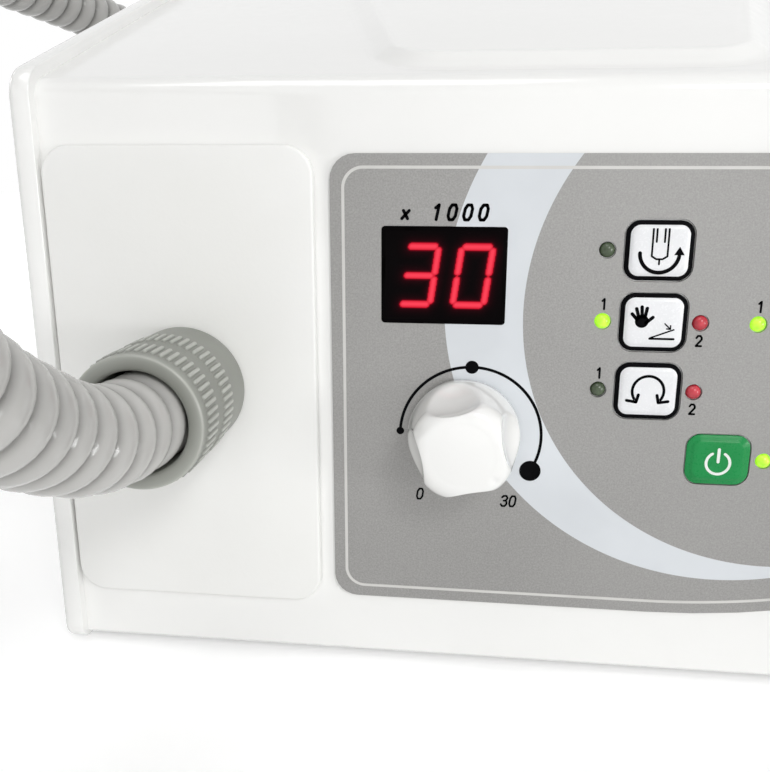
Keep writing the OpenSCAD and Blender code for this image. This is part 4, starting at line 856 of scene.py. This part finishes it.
def autoSign(ink):  # fan wheel in a ring
    ink.line(frontArc((0, 0), 3.4, 0, 358, 60), 0.4)
    ink.dot((0, 0), 0.6)
    for deg in (30, 150, 270):
        ink.line(frontArc(frontArc((0, 0), 1.5, deg, deg, 1)[0], 1.2, deg - 120, deg + 100, 24), 0.6)


def powerSign(ink):  # ring open at the top with an upright bar
    ink.line(frontArc((0, -0.5), 2.3, 122, 418, 50), 0.55)
    ink.stroke([(0, 2.4), (0, -0.2)], 0.6)


keySpec = {"radius": 2.7, "rim": 0.85, "foot": 1.05, "ink": 0.03,  # the foot lies this far below the CAD key's face
           "profile": [(0, 0), (0, 0.3), (0.12, 0.42), (0.85, 0.5), (1.0, 0.62), (1.25, 0.78), (1.6, 0.9), (2.1, 0.97),
                       (2.6, 1.0)],
           "white": ("keyWhiteFilm", "blackInk", "key_white"), "green": ("keyGreenFilm", "whiteInk", "key_green"),
           "signs": {"tool": toolSign, "source": sourceSign, "direction": directionSign, "auto": autoSign,
                     "power": powerSign}}


def makeKey(kind, sign, spec):  # the pillow's profile carried round the key, its outer rows black on a white key
    low, high, centre = nodeBox("key_" + kind)
    name, body = kind + "Key", kind + "_button"
    isGreen = kind == "power"
    face, signInk, slot = spec["green" if isGreen else "white"]
    profile = np.array(spec["profile"]) + (0, frontY - low[1] - spec["foot"])
    outline, normals = roundedBox(low, high, spec["radius"])
    local, faces = sweptRim(outline, normals, profile)
    inRim = np.repeat(profile[1:, 0] <= spec["rim"], len(outline))
    paint = np.concatenate([np.where(inRim & (not isGreen), 1, 0), [0, 0]])
    putMesh(name, toFront(local, centre), faces, [face, "blackInk"], body, 60, paint, "key_" + kind)
    ink = Print(profile[-1, 1], spec["ink"])
    sign(ink)
    ink.put(name + "Sign", signInk, body, slot, centre)


for kind, sign in keySpec["signs"].items():
    makeKey(kind, sign, keySpec)
print("keys made")

# Plain figures beside the lamps, where the two settings of a key are told apart, and over the display
labelSpec = {"keys": ("source", "direction", "auto"), "marks": (("1", -9.6, 3.4), ("2", 8.95, -3.5)), "height": 2.0,
             "weight": 0.2, "factor": "x 1000", "factorUp": 2.7, "factorHeight": 2.8,
             "factorShape": (0.22, 0.2, 4.3), "ink": 0.05}  # weight, lean and pitch


def makeLabels(spec):
    ink = Print(panelFace, spec["ink"])
    for key in spec["keys"]:
        centre = nodeBox("key_" + key)[2]
        for text, across, up in spec["marks"]:
            place = np.array([centre[0] + across, centre[2] + up])
            writeFigures(ink, text, place, spec["height"], spec["weight"], 0.0)
    _, high, centre = nodeBox("display_window")
    place = np.array([centre[0], high[2] + spec["factorUp"]])
    writeFigures(ink, spec["factor"], place, spec["factorHeight"], *spec["factorShape"])
    ink.put("lampFigures", "blackInk")


makeLabels(labelSpec)

# Display: lit bars seen through the tinted window, as a field of nearness to a lit bar
displaySpec = {"inset": 0.8, "corner": 0.7, "cell": 0.16, "halfHigh": 5.7, "halfWide": 3.05, "bar": 0.7, "lean": 0.14,
               "gap": 0.75, "digits": ((-4.85, "abcdg"), (5.75, "abcdef")), "lift": 0.15, "skirt": 0.1,
               "coreAt": 1.15, "coreFall": 0.55, "barEdge": 0.42, "halo": 0.3, "haloReach": 0.55,
               "slab": [(0, -0.3), (0, 0.05), (0.1, 0.12)]}
windowLow, windowHigh, windowCentre = nodeBox("display_window")
windowFace = frontY - windowLow[1]


def makeWindow(spec):  # dark slab with small round corners, a hair above the print round it
    outline, normals = roundedBox(windowLow, windowHigh, spec["corner"], 10)
    local, faces = sweptRim(outline, normals, np.array(spec["slab"]) + (0, windowFace))
    putMesh("displayWindow", toFront(local, windowCentre), faces, "windowAcrylic", "casing",
            replaced="display_window")


def makeBars(spec):  # a flat grid over the window; each point's field falls off with its distance from a lit bar
    w, h = ((windowHigh[k] - windowLow[k]) / 2 - spec["inset"] for k in (0, 2))
    columns, rows = int(2 * w / spec["cell"]), int(2 * h / spec["cell"])
    x, y = np.meshgrid(np.linspace(-w, w, columns), np.linspace(-h, h, rows))
    a, b, g = spec["halfWide"], spec["halfHigh"], spec["gap"]
    bars = {"a": ((-a + g, b), (a - g, b)), "b": ((a, b - g), (a, g)), "c": ((a, -g), (a, -b + g)),
            "d": ((-a + g, -b), (a - g, -b)), "e": ((-a, -g), (-a, -b + g)), "f": ((-a, b - g), (-a, g)),
            "g": ((-a + g, 0), (a - g, 0))}
    away = np.full(x.shape, 99.0)
    for shift, lit in spec["digits"]:
        u = x - shift - spec["lean"] * y
        for bar in lit:
            p, q = (np.array(v) for v in bars[bar])
            d = q - p
            t = np.clip(((u - p[0]) * d[0] + (y - p[1]) * d[1]) / (d @ d), 0, 1)
            away = np.minimum(away, np.hypot(u - p[0] - t * d[0], y - p[1] - t * d[1]))
    core = np.clip(spec["coreAt"] - away / spec["bar"] * spec["coreFall"], 0, 1)
    halo = spec["halo"] * np.exp(-np.maximum(away - spec["bar"], 0) / spec["haloReach"])
    field = np.where(away < spec["bar"], np.maximum(core, spec["barEdge"]), halo)
    top = np.stack([x, y, np.full(x.shape, windowFace + spec["lift"])], -1).reshape(-1, 3)
    rim = np.concatenate([np.arange(columns), np.arange(1, rows) * columns + columns - 1,
                          (rows - 1) * columns + np.arange(columns - 2, -1, -1), np.arange(rows - 2, 0, -1) * columns])
    points = np.vstack([top, top[rim] - (0, 0, spec["skirt"])])
    below = len(top) + np.arange(len(rim))
    faces = gridFaces(rows, columns, False)
    faces += np.stack([below, np.roll(below, -1), np.roll(rim, -1), rim], -1).tolist() + [below[::-1].tolist()]
    glass = putMesh("displayBars", toFront(points, windowCentre), faces, "redBarGlow", "casing")
    addField(glass, "lit", np.concatenate([field.ravel(), np.zeros(len(rim))]))


makeWindow(displaySpec)
makeBars(displaySpec)
print("display made")

# Finishes of the CAD nodes that show as they are
nodeFinish = {
    "satinGreyAbs": ["base_plate"], "blackRubber": ["rubber_feet", "spigot_gasket", "duct_seal"],
    "platedSteel": ["base_screws", "rear_screws", "board_screws"], "satinWhiteAbs": ["rear_panel"],
    "blackAbs": ["mains_inlet", "pedal_jack", "display_module", "key_switches", "capacitors"],
    "nickelledBrass": ["inlet_pins"], "greyNylon": ["hose_spigot", "spigot_nut"],
    "darkGreyAbs": ["filter_box", "filter_lid", "blower_housing"], "filterPaper": ["filter_pleats"],
    "spunAluminium": ["blower_impeller"], "zincCan": ["blower_motor", "speed_pot", "suction_pot"],
    "turnedSteel": ["blower_shaft", "speed_shaft", "suction_shaft", "tool_spindle", "lock_ring", "nose_cone"],
    "silverPrintedFilm": ["control_panel"], "redEpoxy": ["display_digits", "lamps_red"],
    "boardGreen": ["control_board", "power_board"], "litGreenEpoxy": ["lamps_green_on"],
    "darkGreenEpoxy": ["lamps_green_off"], "coilTape": ["transformer"], "greyRubber": ["hose_cuff"],
    "ivoryAbs": ["handpiece_barrel"], "milkyPolycarbonate": ["suction_hood"],
}
for material, names in nodeFinish.items():
    for name in names:
        slots = nodes[name].data.materials
        slots.clear()
        slots.append(finish[material])
print("CAD nodes dressed:", sum(map(len, nodeFinish.values())), "of", len(nodes))
